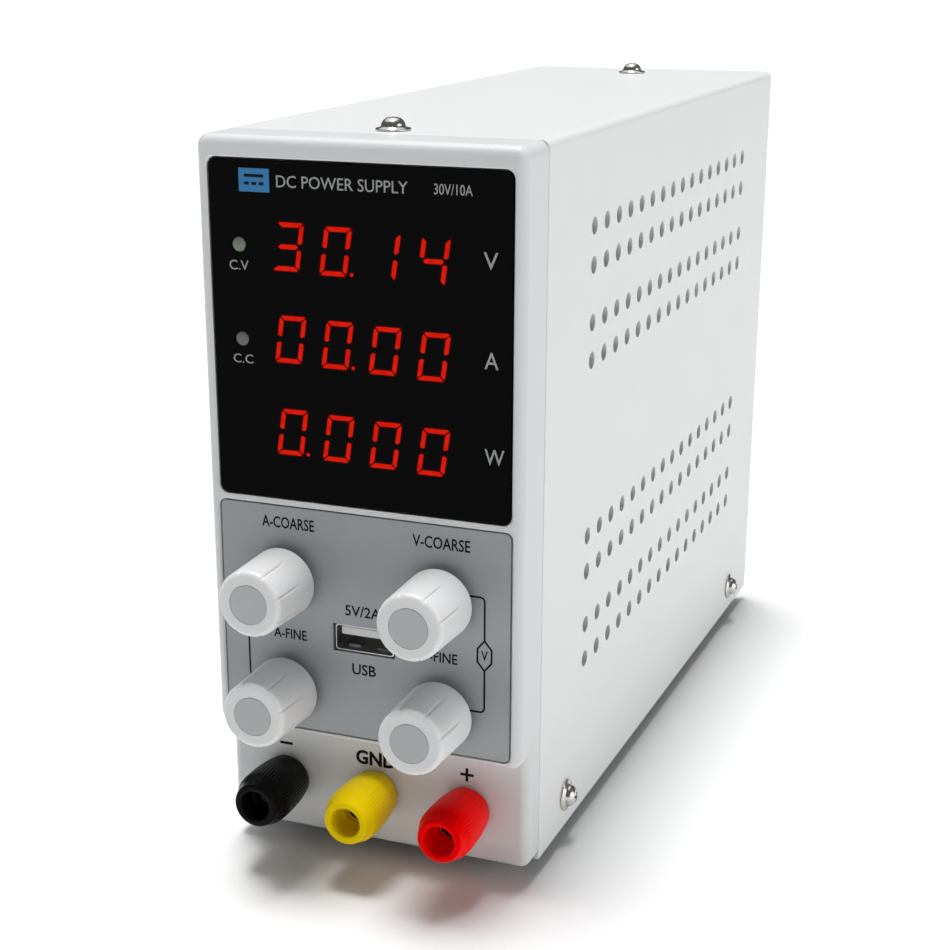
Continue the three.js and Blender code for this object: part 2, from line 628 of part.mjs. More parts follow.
// One blade, lofted outwards from the hub and twisted towards the tip.
function makeBlade(turn) {
  const { stations } = BLADE;
  const thick = CHORD.thick / 2;
  const points = [];
  for (let i = 0; i < stations; i += 1) {
    const part = i / (stations - 1);
    const radius = FAN.rHub - 1 + part * (FAN.rTip - FAN.rHub + 1);
    const pitch = BLADE.pitch - BLADE.untwist * part;
    const half = CHORD.half + CHORD.widen * part;
    for (const [along, side] of [[-half, -thick], [half, -thick], [half, thick], [-half, thick]]) {
      const axial = along * Math.sin(pitch) + side * Math.cos(pitch);
      const across = along * Math.cos(pitch) - side * Math.sin(pitch);
      const angle = turn + across / radius + BLADE.sweep * part;
      points.push(radius * Math.cos(angle), axial + (FAN_FRONT + FAN_BACK) / 2 + 0.5,
        FAN.z + radius * Math.sin(angle));
    }
  }
  const faces = [0, 1, 2, 0, 2, 3];
  for (let i = 0; i < stations - 1; i += 1) {
    for (let k = 0; k < 4; k += 1) {
      const [a, b] = [4 * i + k, 4 * i + ((k + 1) % 4)];
      faces.push(a, a + 4, b, b, a + 4, b + 4);
    }
  }
  const last = 4 * (stations - 1);
  faces.push(last, last + 2, last + 1, last, last + 3, last + 2);
  const geometry = new THREE.BufferGeometry();
  geometry.setAttribute('position', new THREE.Float32BufferAttribute(points, 3));
  geometry.setIndex(faces);
  return solidFrom(geometry);
}

function makeFanRotor() {
  const hub = rod(0, FAN.z, FAN.rHub, [FAN_FRONT + 2.5, FAN_BACK - 1], 24);
  const blades = [];
  for (let i = 0; i < BLADE.count; i += 1) blades.push(makeBlade((2 * Math.PI * i) / BLADE.count));
  return join([hub, ...blades]);
}

addPiece('fan_frame', makeFanFrame(), BLACK_PLASTIC);
addPiece('fan_rotor', makeFanRotor(), BLACK_PLASTIC);

// ---- back panel fittings ---------------------------------------------------

const FLANGE_Y = BACK_Y + GAP;
const INLET_FACE = FLANGE_Y + INLET.flange;

// Mains inlet with its three pins, and a pocket under it for the fuse drawer.
function makeInlet() {
  const { x, z, width, height, corner } = INLET;
  const flange = slab(roundedOutline(around(x, width / 2), around(z, height / 2), corner),
    [FLANGE_Y, INLET_FACE]);
  const housing = block(around(x, INLET_BODY.x), [BACK_Y - INLET_BODY.depth, FLANGE_Y + 1],
    around(z, INLET_BODY.z));
  const half = [
    [INLET_MOUTH.x, -INLET_MOUTH.z], [INLET_MOUTH.x, INLET_MOUTH.shoulderZ],
    [INLET_MOUTH.shoulderX, INLET_MOUTH.z],
  ];
  const outline = [...half, ...half.map(([dx, dz]) => [-dx, dz]).reverse()];
  const mouth = slab(
    outline.map(([dx, dz]) => new THREE.Vector2(x + dx, INLET_MOUTH_Z + dz)),
    [BACK_Y - INLET_MOUTH.depth, INLET_FACE + 1],
  );
  const pocket = block(around(x, DRAWER.x + GAP),
    [BACK_Y - DRAWER.depth - 0.5, INLET_FACE + 1], around(DRAWER.z, DRAWER.half + GAP));
  const pins = PIN.places.map(([dx, dz]) => block(
    around(x + dx, PIN.x), [BACK_Y - PIN.depth, FLANGE_Y], around(INLET_MOUTH_Z + dz, PIN.z),
  ));
  return join([cut(join([flange, housing]), [mouth, pocket]), ...pins]);
}

function makeDrawer() {
  const face = INLET_FACE + DRAWER.proud;
  const tray = block(around(INLET.x, DRAWER.x), [BACK_Y - DRAWER.depth, face],
    around(DRAWER.z, DRAWER.half));
  const grip = block(around(INLET.x, GRIP.x), [face - GRIP.depth, face + 1],
    around(DRAWER.z, GRIP.z));
  return cut(tray, [grip]);
}

function makeSwitchBody() {
  const { x, z, width, height, flange, corner } = SWITCH;
  const frame = slab(roundedOutline(around(x, width / 2), around(z, height / 2), corner),
    [FLANGE_Y, FLANGE_Y + flange]);
  const housing = block(around(x, SWITCH_BODY.x), [BACK_Y - SWITCH_BODY.depth, FLANGE_Y + 1],
    around(z, SWITCH_BODY.z));
  const well = block(around(x, SWITCH_WELL.x), [BACK_Y - SWITCH_WELL.depth, FLANGE_Y + 3],
    around(z, SWITCH_WELL.z));
  return cut(join([frame, housing]), [well]);
}

// The rocker is pressed in at the top, which is its on position.
function makeRocker() {
  const { width, half, belly, end, dip } = ROCKER;
  const outline = [[-half, 0], [0, -belly], [half, 0], [half, end], [0, dip], [-half, end]];
  const shape = new THREE.Shape(outline.map(([z, y]) => new THREE.Vector2(y, z)));
  const geometry = new THREE.ExtrudeGeometry(shape, { depth: width, bevelEnabled: false });
  geometry.translate(0, 0, -width / 2);
  geometry.rotateY(Math.PI / 2);
  geometry.rotateX(Math.PI / 2);
  geometry.rotateX((SWITCH.tilt * Math.PI) / 180);
  geometry.translate(SWITCH.x, SWITCH_PIVOT_Y, SWITCH.z);
  return solidFrom(geometry);
}

function makeSelectorBody() {
  const { x, z, halfX, halfZ, depth } = SELECTOR;
  const body = block(around(x, SELECTOR_BODY.x),
    [BACK_Y - SELECTOR_BODY.depth, BACK_Y - SHEET - GAP], around(z, SELECTOR_BODY.z));
  return cut(body, [block(around(x, halfX), [BACK_Y - depth, BACK_Y], around(z, halfZ))]);
}

function makeSelectorSlider() {
  const { x, z, travel, halfX } = SELECTOR;
  const left = x - halfX + GAP;
  const right = x + halfX - GAP - travel;
  const face = BACK_Y - SLIDER.sunk;
  const slider = block([left, right], [BACK_Y - SLIDER.depth, face], around(z, SLIDER.z));
  const slot = block(around((left + right) / 2, SLIDER.slot / 2),
    [face - SLIDER.slotDepth, face + 1], around(z, SLIDER.z + 1));
  return cut(slider, [slot]);
}

addPiece('mains_inlet', makeInlet(), BLACK_PLASTIC);
addPiece('fuse_drawer', makeDrawer(), BLACK_PLASTIC);
addPiece('power_switch_body', makeSwitchBody(), BLACK_PLASTIC);
addPiece('power_switch_rocker', makeRocker(), BLACK_PLASTIC);
addPiece('voltage_selector_body', makeSelectorBody(), BLACK_PLASTIC);
addPiece('voltage_selector_slider', makeSelectorSlider(), SWITCH_RED);

// ---- power board -----------------------------------------------------------

const PARTS_Z = BOARD_Z + BOARD + GAP;

function makeTransformer() {
  const core = block(around(0, CORE.x), CORE.y, [PARTS_Z, PARTS_Z + CORE.height]);
  const winding = block(around(0, WINDING.x), WINDING.y, WINDING.z.map((z) => PARTS_Z + z));
  return join([core, winding]);
}

// A comb section: the upright back carries fins that point inwards.
function makeHeatSink() {
  const { back, face, tip, fins, pitch, thick, y } = HEAT_SINK;
  const top = PARTS_Z + (fins - 1) * pitch + thick;
  const points = [new THREE.Vector2(back, PARTS_Z), new THREE.Vector2(back, top)];
  for (let i = fins - 1; i >= 0; i -= 1) {
    const z = PARTS_Z + i * pitch;
    points.push(new THREE.Vector2(tip, z + thick), new THREE.Vector2(tip, z));
    if (i > 0) {
      points.push(new THREE.Vector2(face, z), new THREE.Vector2(face, z - pitch + thick));
    }
  }
  return slab(points, y);
}

const makeCapacitor = ({ x, y, r, height }) => turnedUpright([
  [0, PARTS_Z], [r, PARTS_Z], [r, PARTS_Z + height - 1],
  [r - 1, PARTS_Z + height], [0, PARTS_Z + height],
], x, y, 18);

addPiece('main_board',
  block(around(0, MAIN_BOARD.x), MAIN_BOARD.y, [BOARD_Z, BOARD_Z + BOARD]), BOARD_GREEN);
addPiece('transformer', makeTransformer(), FERRITE);
addPiece('heat_sink', makeHeatSink(), ALUMINIUM);
addPiece('input_capacitor', makeCapacitor(INPUT_CAPACITOR), BLUE_SLEEVE);
addPiece('output_capacitor', makeCapacitor(OUTPUT_CAPACITOR), BLUE_SLEEVE);

// ---- place the unit on its feet, centred on its own box ---------------------

const extent = new THREE.Box3().setFromObject(unit);
const middle = extent.getCenter(new THREE.Vector3());
unit.position.set(-middle.x, -middle.y, -extent.min.z);

export default unit;
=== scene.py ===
import math

import bmesh
import bpy
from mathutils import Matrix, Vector


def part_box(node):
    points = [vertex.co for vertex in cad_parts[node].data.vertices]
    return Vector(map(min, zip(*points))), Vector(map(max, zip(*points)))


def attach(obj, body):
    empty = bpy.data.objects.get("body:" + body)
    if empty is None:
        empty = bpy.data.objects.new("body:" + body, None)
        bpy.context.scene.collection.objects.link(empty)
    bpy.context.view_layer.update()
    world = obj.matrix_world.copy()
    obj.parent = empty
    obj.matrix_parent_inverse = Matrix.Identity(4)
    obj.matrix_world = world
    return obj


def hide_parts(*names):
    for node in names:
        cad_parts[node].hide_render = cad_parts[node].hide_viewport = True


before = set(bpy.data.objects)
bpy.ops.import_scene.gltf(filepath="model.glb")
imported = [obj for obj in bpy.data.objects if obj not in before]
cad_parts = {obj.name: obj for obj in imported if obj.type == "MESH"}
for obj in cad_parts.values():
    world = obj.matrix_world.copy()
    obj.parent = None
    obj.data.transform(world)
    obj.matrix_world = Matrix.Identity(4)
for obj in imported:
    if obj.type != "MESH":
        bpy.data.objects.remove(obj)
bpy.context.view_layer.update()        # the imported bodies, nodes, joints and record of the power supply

# ---- camera, floor and light -------------------------------------------------
# The unit stands on a pale table. The camera is in front of it, to its right and
# a little above it. Soft light falls from overhead, the rear left and the right.

camera_data = bpy.data.cameras.new("camera")
camera_data.lens = 69.16
camera_data.shift_x = 0.0549
camera_data.shift_y = 0.0726
camera = bpy.data.objects.new("camera", camera_data)
camera.location = (0.14663, -0.40601, 0.18954)
camera.rotation_euler = [math.radians(angle) for angle in (71.484, 0.318, 22.900)]
bpy.context.collection.objects.link(camera)
bpy.context.scene.camera = camera

TABLE_RADIUS = 9


def table_top():
    mesh = bpy.data.meshes.new("table_top")
    shape = bmesh.new()
    bmesh.ops.create_circle(shape, cap_ends=True, segments=96, radius=TABLE_RADIUS)
    shape.to_mesh(mesh)
    shape.free()
    material = bpy.data.materials.new("table_top")
    material.use_nodes = True
    shader = material.node_tree.nodes["Principled BSDF"]
    shader.inputs["Base Color"].default_value = (0.87, 0.87, 0.87, 1)
    shader.inputs["Roughness"].default_value = 0.7
    shader.inputs["Specular IOR Level"].default_value = 0.1
    mesh.materials.append(material)
    floor = bpy.data.objects.new("table_top", mesh)
    bpy.context.collection.objects.link(floor)


def soft_sun(name, strength, spread, coming_from):
    data = bpy.data.lights.new(name, "SUN")
    data.energy = strength
    data.angle = math.radians(spread)
    light = bpy.data.objects.new(name, data)
    light.rotation_euler = Vector(coming_from).to_track_quat("Z", "Y").to_euler()
    bpy.context.collection.objects.link(light)


table_top()
soft_sun("overhead", 2.92, 20, (-0.09, 0.03, 1))
soft_sun("rear_left", 0.85, 70, (-0.3, 0.3, 1))
soft_sun("right_hand", 1.27, 55, (1, -0.08, 0.08))

world = bpy.data.worlds.new("pale_room")
world.use_nodes = True
sky = world.node_tree.nodes["Background"].inputs
sky["Color"].default_value = (0.95, 0.97, 1.0, 1)
sky["Strength"].default_value = 0.12
bpy.context.scene.world = world
bpy.context.scene.view_settings.view_transform = "Standard"

# ---- steel cover -------------------------------------------------------------
# An inverted U of 1.2 mm sheet, bent over the top with a small radius and white
# powder-coated. Four rows of round vents are punched high and four low in each
# side. It is held by two screws on top and two low in each side.

MM = 0.001
SHEET = 1.2 * MM
BEND = 1.8 * MM
HALF_WIDTH = 34.25
CASE_TOP = 149.3
SCREW_HOLE = 1.6 * MM
VENT_ROWS = (129.4, 121.4, 109.5, 101.6, 63.3, 55.3, 43.1, 35.1)
VENTS_PER_ROW = 16
VENT_FIRST = 29.1
VENT_PITCH = 8.4 * MM
VENT_RADIUS = 1.85 * MM

cover_low, cover_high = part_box("top_cover")
seam_y = cover_low.y - 0.5 * MM


def spot(x, y, z):
    """A place in mm from the middle, back from the seam, and up from the cover's lower edge."""
    return Vector((x * MM, seam_y + y * MM, cover_low.z + z * MM))


def wire(tree, node, inputs):
    """Sets a node's inputs, each to a value or to another node's output."""
    for label, value in inputs.items():
        if isinstance(value, bpy.types.NodeSocket):
            tree.links.new(value, node.inputs[label])
        else:
            node.inputs[label].default_value = value


def adder(tree):
    """Gives a function that adds a node to the tree and returns the node's outputs."""
    def add(kind, inputs=None, **settings):
        node = tree.nodes.new(kind)
        for setting, value in settings.items():
            setattr(node, setting, value)
        wire(tree, node, inputs or {})
        return node.outputs
    return add


def blend(add, factor, colour, other):
    """Mixes two colours by a factor."""
    mix = {"Factor": factor, "A": (*colour, 1), "B": (*other, 1)}
    return add("ShaderNodeMix", mix, data_type="RGBA")["Result"]


def surface(name, colour, roughness, metallic=0.0, mottle=0.04, mottle_size=0.03,
            grain=0.0, grain_size=0.001, uneven=0.06, **settings):
    """A material with a faint mottle in its colour, an uneven gloss and a fine relief."""
    material = bpy.data.materials.new(name)
    material.use_nodes = True
    tree = material.node_tree
    add = adder(tree)
    place = add("ShaderNodeTexCoord")["Object"]

    def noise(size, detail):
        texture = {"Vector": place, "Scale": 1 / size, "Detail": detail}
        return add("ShaderNodeTexNoise", texture)["Fac"]

    gloss = {"Value": noise(mottle_size / 4, 5), "To Min": max(roughness - uneven, 0.02),
             "To Max": roughness + uneven}
    finish = {
        "Base Color": blend(add, noise(mottle_size, 3), colour, [c * (1 - mottle) for c in colour]),
        "Roughness": add("ShaderNodeMapRange", gloss)["Result"],
        "Metallic": metallic,
    }
    if grain:
        relief = {"Height": noise(grain_size, 2), "Strength": 1, "Distance": grain}
        finish["Normal"] = add("ShaderNodeBump", relief)["Normal"]
    for label, value in settings.items():
        finish[label.replace("_", " ")] = value
    wire(tree, tree.nodes["Principled BSDF"], finish)
    return material


def closed_piece(name, shape, material):
    """A piece of this shape, with its doubles merged and its faces turned outwards."""
    bmesh.ops.remove_doubles(shape, verts=shape.verts, dist=1e-7)
    bmesh.ops.recalc_face_normals(shape, faces=shape.faces)
    mesh = bpy.data.meshes.new(name)
    shape.to_mesh(mesh)
    shape.free()
    if material:
        mesh.materials.append(material)
    piece = bpy.data.objects.new(name, mesh)
    bpy.context.collection.objects.link(piece)
    return piece


def piece_from(name, points, faces, material=None):
    draft = bpy.data.meshes.new("draft")
    draft.from_pydata([tuple(p) for p in points], [], faces)
    shape = bmesh.new()
    shape.from_mesh(draft)
    bpy.data.meshes.remove(draft)
    return closed_piece(name, shape, material)


def settle(piece):
    """Turns the piece's modifiers into plain mesh."""
    graph = bpy.context.evaluated_depsgraph_get()
    mesh = bpy.data.meshes.new_from_object(piece.evaluated_get(graph))
    mesh.name = piece.name
    piece.modifiers.clear()
    piece.data = mesh
    return piece


def smooth(piece, angle):
    """Shades the piece smooth, keeps the edges that turn by more than the angle sharp."""
    piece.data.shade_smooth()
    piece.data.set_sharp_from_angle(angle=math.radians(angle))
    even = piece.modifiers.new("even", "WEIGHTED_NORMAL")
    even.keep_sharp = True
    return settle(piece)


def fit(piece, node, body, material=None, angle=30):
    """Gives a made piece its material and shading, and puts it in a node's place on a body."""
    if material:
        piece.data.materials.clear()
        piece.data.materials.append(material)
    smooth(piece, angle)
    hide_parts(node)
    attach(piece, body)


def combine(piece, others, operation):
    """Cuts the others out of the piece or joins them to it, and removes them."""
    for other in others:
        step = piece.modifiers.new(operation, "BOOLEAN")
        step.operation = operation
        step.solver = "EXACT"
        step.object = other
    settle(piece)
    for other in others:
        bpy.data.objects.remove(other)
    return piece


def carve(piece, *cutters):
    return combine(piece, cutters, "DIFFERENCE")


def soften(piece, width, segments=2, angle=40):
    """Rounds the edges that turn by more than the angle."""
    edge = piece.modifiers.new("edge", "BEVEL")
    edge.width = width
    edge.segments = segments
    edge.limit_method = "ANGLE"
    edge.angle_limit = math.radians(angle)
    return settle(piece)


def loft(name, rings, material=None):
    """A closed solid through rings of points, all of one count, with flat ends."""
    count = len(rings[0])
    points = [p for ring in rings for p in ring]
    faces = [list(range(count)), list(range((len(rings) - 1) * count, len(rings) * count))]
    for i in range(len(rings) - 1):
        for k in range(count):
            a, b = i * count + k, i * count + (k + 1) % count
            faces.append([a, b, b + count, a + count])
    return piece_from(name, points, faces, material)


def drill(name, place, radius, length, axis, sides=24):
    """A round cutter or rod centred on a place, along an axis."""
    turn = Vector((0, 0, 1)).rotation_difference(Vector(axis)).to_matrix()
    rings = []
    for end in (-length / 2, length / 2):
        rings.append([
            Vector(place) + turn @ Vector((
                radius * math.cos(2 * math.pi * k / sides),
                radius * math.sin(2 * math.pi * k / sides), end))
            for k in range(sides)
        ])
    return loft(name, rings)


def bent_sheet():
    half = cover_high.x
    top = cover_high.z
    ys = (cover_low.y, cover_high.y)

    def path(inset):
        radius = BEND - inset
        line = [(-half + inset, cover_low.z)]
        for side, start in ((-1, math.pi), (1, math.pi / 2)):
            for k in range(7):
                angle = start - k * math.pi / 12
                line.append((side * (half - BEND) + radius * math.cos(angle),
                             top - BEND + radius * math.sin(angle)))
        return line + [(half - inset, cover_low.z)]

    outline = path(0) + path(SHEET)[::-1]
    count = len(outline) // 2
    points = [(x, y, z) for y in ys for x, z in outline]
    total = len(outline)
    faces = []
    for k in range(total):
        n = (k + 1) % total
        faces.append([k, n, n + total, k + total])
    for end in (0, total):
        for k in range(count - 1):
            faces.append([end + k, end + k + 1, end + total - 2 - k, end + total - 1 - k])
    return piece_from("top_cover", points, faces)


def new_tree(name, **sockets):
    """A node tree with these named inputs and a material, its inputs, and its adder."""
    tree = bpy.data.node_groups.new(name, "GeometryNodeTree")
    for label, kind in {**sockets, "Material": "Material"}.items():
        tree.interface.new_socket(label.replace("_", " "), in_out="INPUT",
                                  socket_type=f"NodeSocket{kind}")
    tree.interface.new_socket("Geometry", in_out="OUTPUT", socket_type="NodeSocketGeometry")
    add = adder(tree)
    return tree, add("NodeGroupInput"), add


def end_tree(tree, given, add, made):
    """Ends a tree in one plain mesh of the given material."""
    whole = add("GeometryNodeRealizeInstances", {"Geometry": made})
    paint = add("GeometryNodeSetMaterial", {"Geometry": whole["Geometry"],
                                            "Material": given["Material"]})
    add("NodeGroupOutput", {"Geometry": paint["Geometry"]})
    return tree


def vent_punch():
    """Punches a line of round holes from each point of another object through the sheet."""
    tree, given, add = new_tree("vent_punch", Geometry="Geometry", Row_Starts="Object",
                                Holes_Per_Row="Int", Pitch="Float", Radius="Float")
    rows = add("GeometryNodeObjectInfo", {"Object": given["Row Starts"]})
    step = add("ShaderNodeCombineXYZ", {"Y": given["Pitch"]})
    line = add("GeometryNodeMeshLine", {"Count": given["Holes Per Row"],
                                        "Offset": step["Vector"]})
    on_rows = add("GeometryNodeInstanceOnPoints", {"Points": rows["Geometry"],
                                                   "Instance": line["Mesh"]})
    places = add("GeometryNodeRealizeInstances", {"Geometry": on_rows["Instances"]})
    punch = add("GeometryNodeMeshCylinder", {"Vertices": 24, "Depth": 0.1,
                                             "Radius": given["Radius"]})
    on_places = add("GeometryNodeInstanceOnPoints", {
        "Points": places["Geometry"], "Instance": punch["Mesh"],
        "Rotation": (0, math.pi / 2, 0)})
    tools = add("GeometryNodeRealizeInstances", {"Geometry": on_places["Instances"]})
    cut = add("GeometryNodeMeshBoolean", {"Mesh 1": given["Geometry"],
                                          "Mesh 2": tools["Geometry"]},
              operation="DIFFERENCE", solver="EXACT")
    return end_tree(tree, given, add, cut["Mesh"])


def run_tree(piece, tree, **values):
    """Runs a node tree on the piece with these named inputs, and keeps the result as plain mesh."""
    step = piece.modifiers.new(tree.name, "NODES")
    step.node_group = tree
    named = {s.name: s.identifier for s in tree.interface.items_tree if s.in_out == "INPUT"}
    for name, value in values.items():
        step[named[name.replace("_", " ")]] = value
    return settle(piece)


powder_coat = surface("white_powder_coat", (0.79, 0.80, 0.795), 0.42, mottle=0.02,
                      grain=0.00004, grain_size=0.0009, uneven=0.05)
cover = bent_sheet()
soften(cover, 0.3 * MM, 2, 60)
screw_seats = [
    (spot(0, 6.2, CASE_TOP), (0, 0, 1)), (spot(0, 167, CASE_TOP), (0, 0, 1)),
    (spot(HALF_WIDTH, 17.7, 7.4), (1, 0, 0)), (spot(HALF_WIDTH, 163.5, 7.0), (1, 0, 0)),
    (spot(-HALF_WIDTH, 17.7, 7.4), (-1, 0, 0)), (spot(-HALF_WIDTH, 163.5, 7.0), (-1, 0, 0)),
]
carve(cover, *[drill("hole", place, SCREW_HOLE, 8 * MM, axis) for place, axis in screw_seats])
row_starts = piece_from("row_starts", [spot(0, VENT_FIRST, z) for z in VENT_ROWS], [])
run_tree(cover, vent_punch(), Row_Starts=row_starts, Holes_Per_Row=VENTS_PER_ROW,
         Pitch=VENT_PITCH, Radius=VENT_RADIUS, Material=powder_coat)
bpy.data.objects.remove(row_starts)
fit(cover, "top_cover", "case", angle=32)

# ---- cover screws ------------------------------------------------------------
# Nickel-plated pan-head screws with a flange and a cross recess. Six hold the
# cover, and a seventh stands on the left side of the moulded front.

HEAD_DOME = [(2.6, 0.66), (2.42, 0.85), (2.38, 1.2), (2.2, 1.6), (1.85, 2.05), (1.35, 2.38),
             (0.7, 2.55), (0, 2.6)]
LOW_DOME = [(2.6, 0.66), (1.8, 0.8), (0, 0.88)]
RECESS_WIDTH = 0.6
RECESS_HALF = 1.3


def turned(name, profile, place, axis, steps=48, relief=None, material=None):
    """A profile of (radius, height) points in mm, turned about an axis through a place."""
    turn = Vector((0, 0, 1)).rotation_difference(Vector(axis)).to_matrix()
    points, rows, faces = [], [], []
    for radius, height in profile:
        row = []
        for k in range(1 if radius == 0 else steps):
            angle = 2 * math.pi * k / steps
            r = radius if relief is None else radius + relief(angle, radius, height)
            row.append(len(points))
            points.append(Vector(place) + turn @ (Vector((r * math.cos(angle),
                                                          r * math.sin(angle), height)) * MM))
        rows.append(row * steps if len(row) == 1 else row)
    for upper, lower in zip(rows, rows[1:]):
        for k in range(steps):
            n = (k + 1) % steps
            face = [upper[k], upper[n], lower[n], lower[k]]
            face = [p for i, p in enumerate(face) if p not in face[:i]]
            if len(face) > 2:
                faces.append(face)
    return piece_from(name, points, faces, material)


def arc(centre, radius, start, end, steps):
    """Points of a round stretch of a profile, angles in degrees."""
    line = []
    for k in range(steps + 1):
        angle = math.radians(start + (end - start) * k / steps)
        line.append((centre[0] + radius * math.cos(angle), centre[1] + radius * math.sin(angle)))
    return line


def screw_head(dome, recess_low):
    """A shank, a thin round flange and a dome of (radius, height) points with a cross recess."""
    profile = [(0, -5), (1.2, -5), (1.2, 0), (3.3, 0)]
    profile += arc((3.3, 0.25), 0.25, -90, 60, 4) + dome
    head = turned("screw", profile, (0, 0, 0), (0, 0, 1), 48)
    arms = []
    for long_x in (True, False):
        rings = []
        for z, half in ((recess_low, RECESS_HALF * 0.4), (dome[-1][1] + 0.5, RECESS_HALF)):
            x, y = (half, RECESS_WIDTH / 2) if long_x else (RECESS_WIDTH / 2, half)
            rings.append([Vector((a * x, b * y, z)) * MM
                          for a, b in ((-1, -1), (1, -1), (1, 1), (-1, 1))])
        arms.append(loft("arm", rings))
    return carve(head, *arms)


def screw_setter():
    """Sets a copy of one screw on each point, facing along the point's attribute."""
    tree, given, add = new_tree("screw_setter", Geometry="Geometry", Screw="Object", Seed="Int")
    screw = add("GeometryNodeObjectInfo", {"Object": given["Screw"]})
    facing = add("GeometryNodeInputNamedAttribute", {"Name": "facing"}, data_type="FLOAT_VECTOR")
    aim = add("FunctionNodeAlignRotationToVector", {"Vector": facing["Attribute"]}, axis="Z")
    turn = add("FunctionNodeRandomValue", {"Max": math.pi / 2, "Seed": given["Seed"]},
               data_type="FLOAT")
    spin = add("ShaderNodeCombineXYZ", {"Z": turn[1]})
    local = add("FunctionNodeRotateRotation", {"Rotation": aim["Rotation"],
                                               "Rotate By": spin["Vector"]},
                rotation_space="LOCAL")
    copies = add("GeometryNodeInstanceOnPoints", {
        "Points": given["Geometry"], "Instance": screw["Geometry"],
        "Rotation": local["Rotation"]})
    return end_tree(tree, given, add, copies["Instances"])


def set_screws(name, screw, seats, seed):
    """One piece of a screw's copies on these seats, each a place and the way it faces."""
    piece = piece_from(name, [place for place, _ in seats], [])
    facing = piece.data.attributes.new("facing", "FLOAT_VECTOR", "POINT")
    for k, (_, axis) in enumerate(seats):
        facing.data[k].vector = axis
    run_tree(piece, setter, Screw=screw, Seed=seed, Material=nickel)
    bpy.data.objects.remove(screw)
    smooth(piece, 38)
    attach(piece, "case")
    return piece


nickel = surface("nickel", (0.66, 0.64, 0.60), 0.22, metallic=1.0, mottle=0.10,
                 mottle_size=0.004, uneven=0.05)
setter = screw_setter()
cover_screws = set_screws("cover_screws", screw_head(HEAD_DOME, 1.1), screw_seats, 4)
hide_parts("top_screw_front", "top_screw_rear", "left_screw_front",
            "left_screw_rear", "right_screw_front", "right_screw_rear")
front_seat = (spot(-HALF_WIDTH, -6, 74.4), (-1, 0, 0))
front_screw = set_screws("bezel_screw", screw_head(LOW_DOME, 0.3), [front_seat], 7)
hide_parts("bezel_screw")

# ---- moulded front -----------------------------------------------------------
# One light grey plastic moulding. Its upper block frames the meter window and the
# control overlay, and the chin under it carries the binding posts. A lip at its
# back slides into the cover.

FRONT_Y = -11.8
CHIN_Y = -6.4
STEP_Z = 25.6
INNER = (-32.75, 32.75)             # between the cover's two sides
INNER_LOW = 1.5
INNER_TOP = 147.8
HOLLOW = (-31.25, 31.25)
SHAFT_HOLE = 4.6 * MM
POST_HOLE = 3.1 * MM


def weld(piece, *others):
    return combine(piece, others, "UNION")


def rounded(x0, x1, z0, z1, radius, steps=6):
    """Points round a rectangle with round corners, in mm."""
    line = []
    for cx, cz, start in ((x1 - radius, z0 + radius, -90), (x1 - radius, z1 - radius, 0),
                          (x0 + radius, z1 - radius, 90), (x0 + radius, z0 + radius, 180)):
        line += arc((cx, cz), radius, start, start + 90, steps)
    return line


def rounded_block(name, x0, x1, z0, z1, y0, y1, corner, edge, steps=5, material=None):
    """A block whose edge at y0 is rounded all round; y0 may lie in front of y1 or behind it."""
    rings = []
    way = 1 if y1 > y0 else -1
    for k in range(steps + 1):
        angle = math.radians(90 * k / steps)
        inset = edge * (1 - math.sin(angle))
        y = y0 + way * edge * (1 - math.cos(angle))
        rings.append([spot(x, y, z) for x, z in rounded(
            x0 + inset, x1 - inset, z0 + inset, z1 - inset, max(corner - inset, 0.25))])
    rings.append([spot(x, y1, z) for x, z in rounded(x0, x1, z0, z1, corner)])
    return loft(name, rings, material)


def pocket(x0, x1, z0, z1, radius, front, floor, flare=0.35):
    """A cutter for a flat-floored pocket whose rim flares by a chamfer at the front."""
    rings = []
    for y, grow in ((front - 2, 3 * flare), (front - 0.001, flare), (front + flare, 0),
                    (floor, 0)):
        rings.append([spot(x, y, z) for x, z in rounded(
            x0 - grow, x1 + grow, z0 - grow, z1 + grow, radius + grow)])
    return loft("pocket", rings)


def slab(name, x0, x1, y0, y1, z0, z1, material=None):
    """A plain block between two corners, in mm."""
    points = [spot(x, y, z) for x in (x0, x1) for y in (y0, y1) for z in (z0, z1)]
    faces = [(0, 1, 3, 2), (4, 6, 7, 5), (0, 4, 5, 1), (2, 3, 7, 6), (0, 2, 6, 4), (1, 5, 7, 3)]
    return piece_from(name, points, faces, material)


front_plastic = surface("front_moulding", (0.70, 0.71, 0.715), 0.40, mottle=0.015,
                        grain=0.000025, grain_size=0.0007, uneven=0.04)
knob_places = [(kind, size, x, z) for kind, x in (("current", -17.2), ("voltage", 17.2))
               for size, z in (("coarse", 60.1), ("fine", 36.1))]
post_places = (("minus", -20.8), ("ground", 0.0), ("plus", 20.8))
POST_Z = 12.6

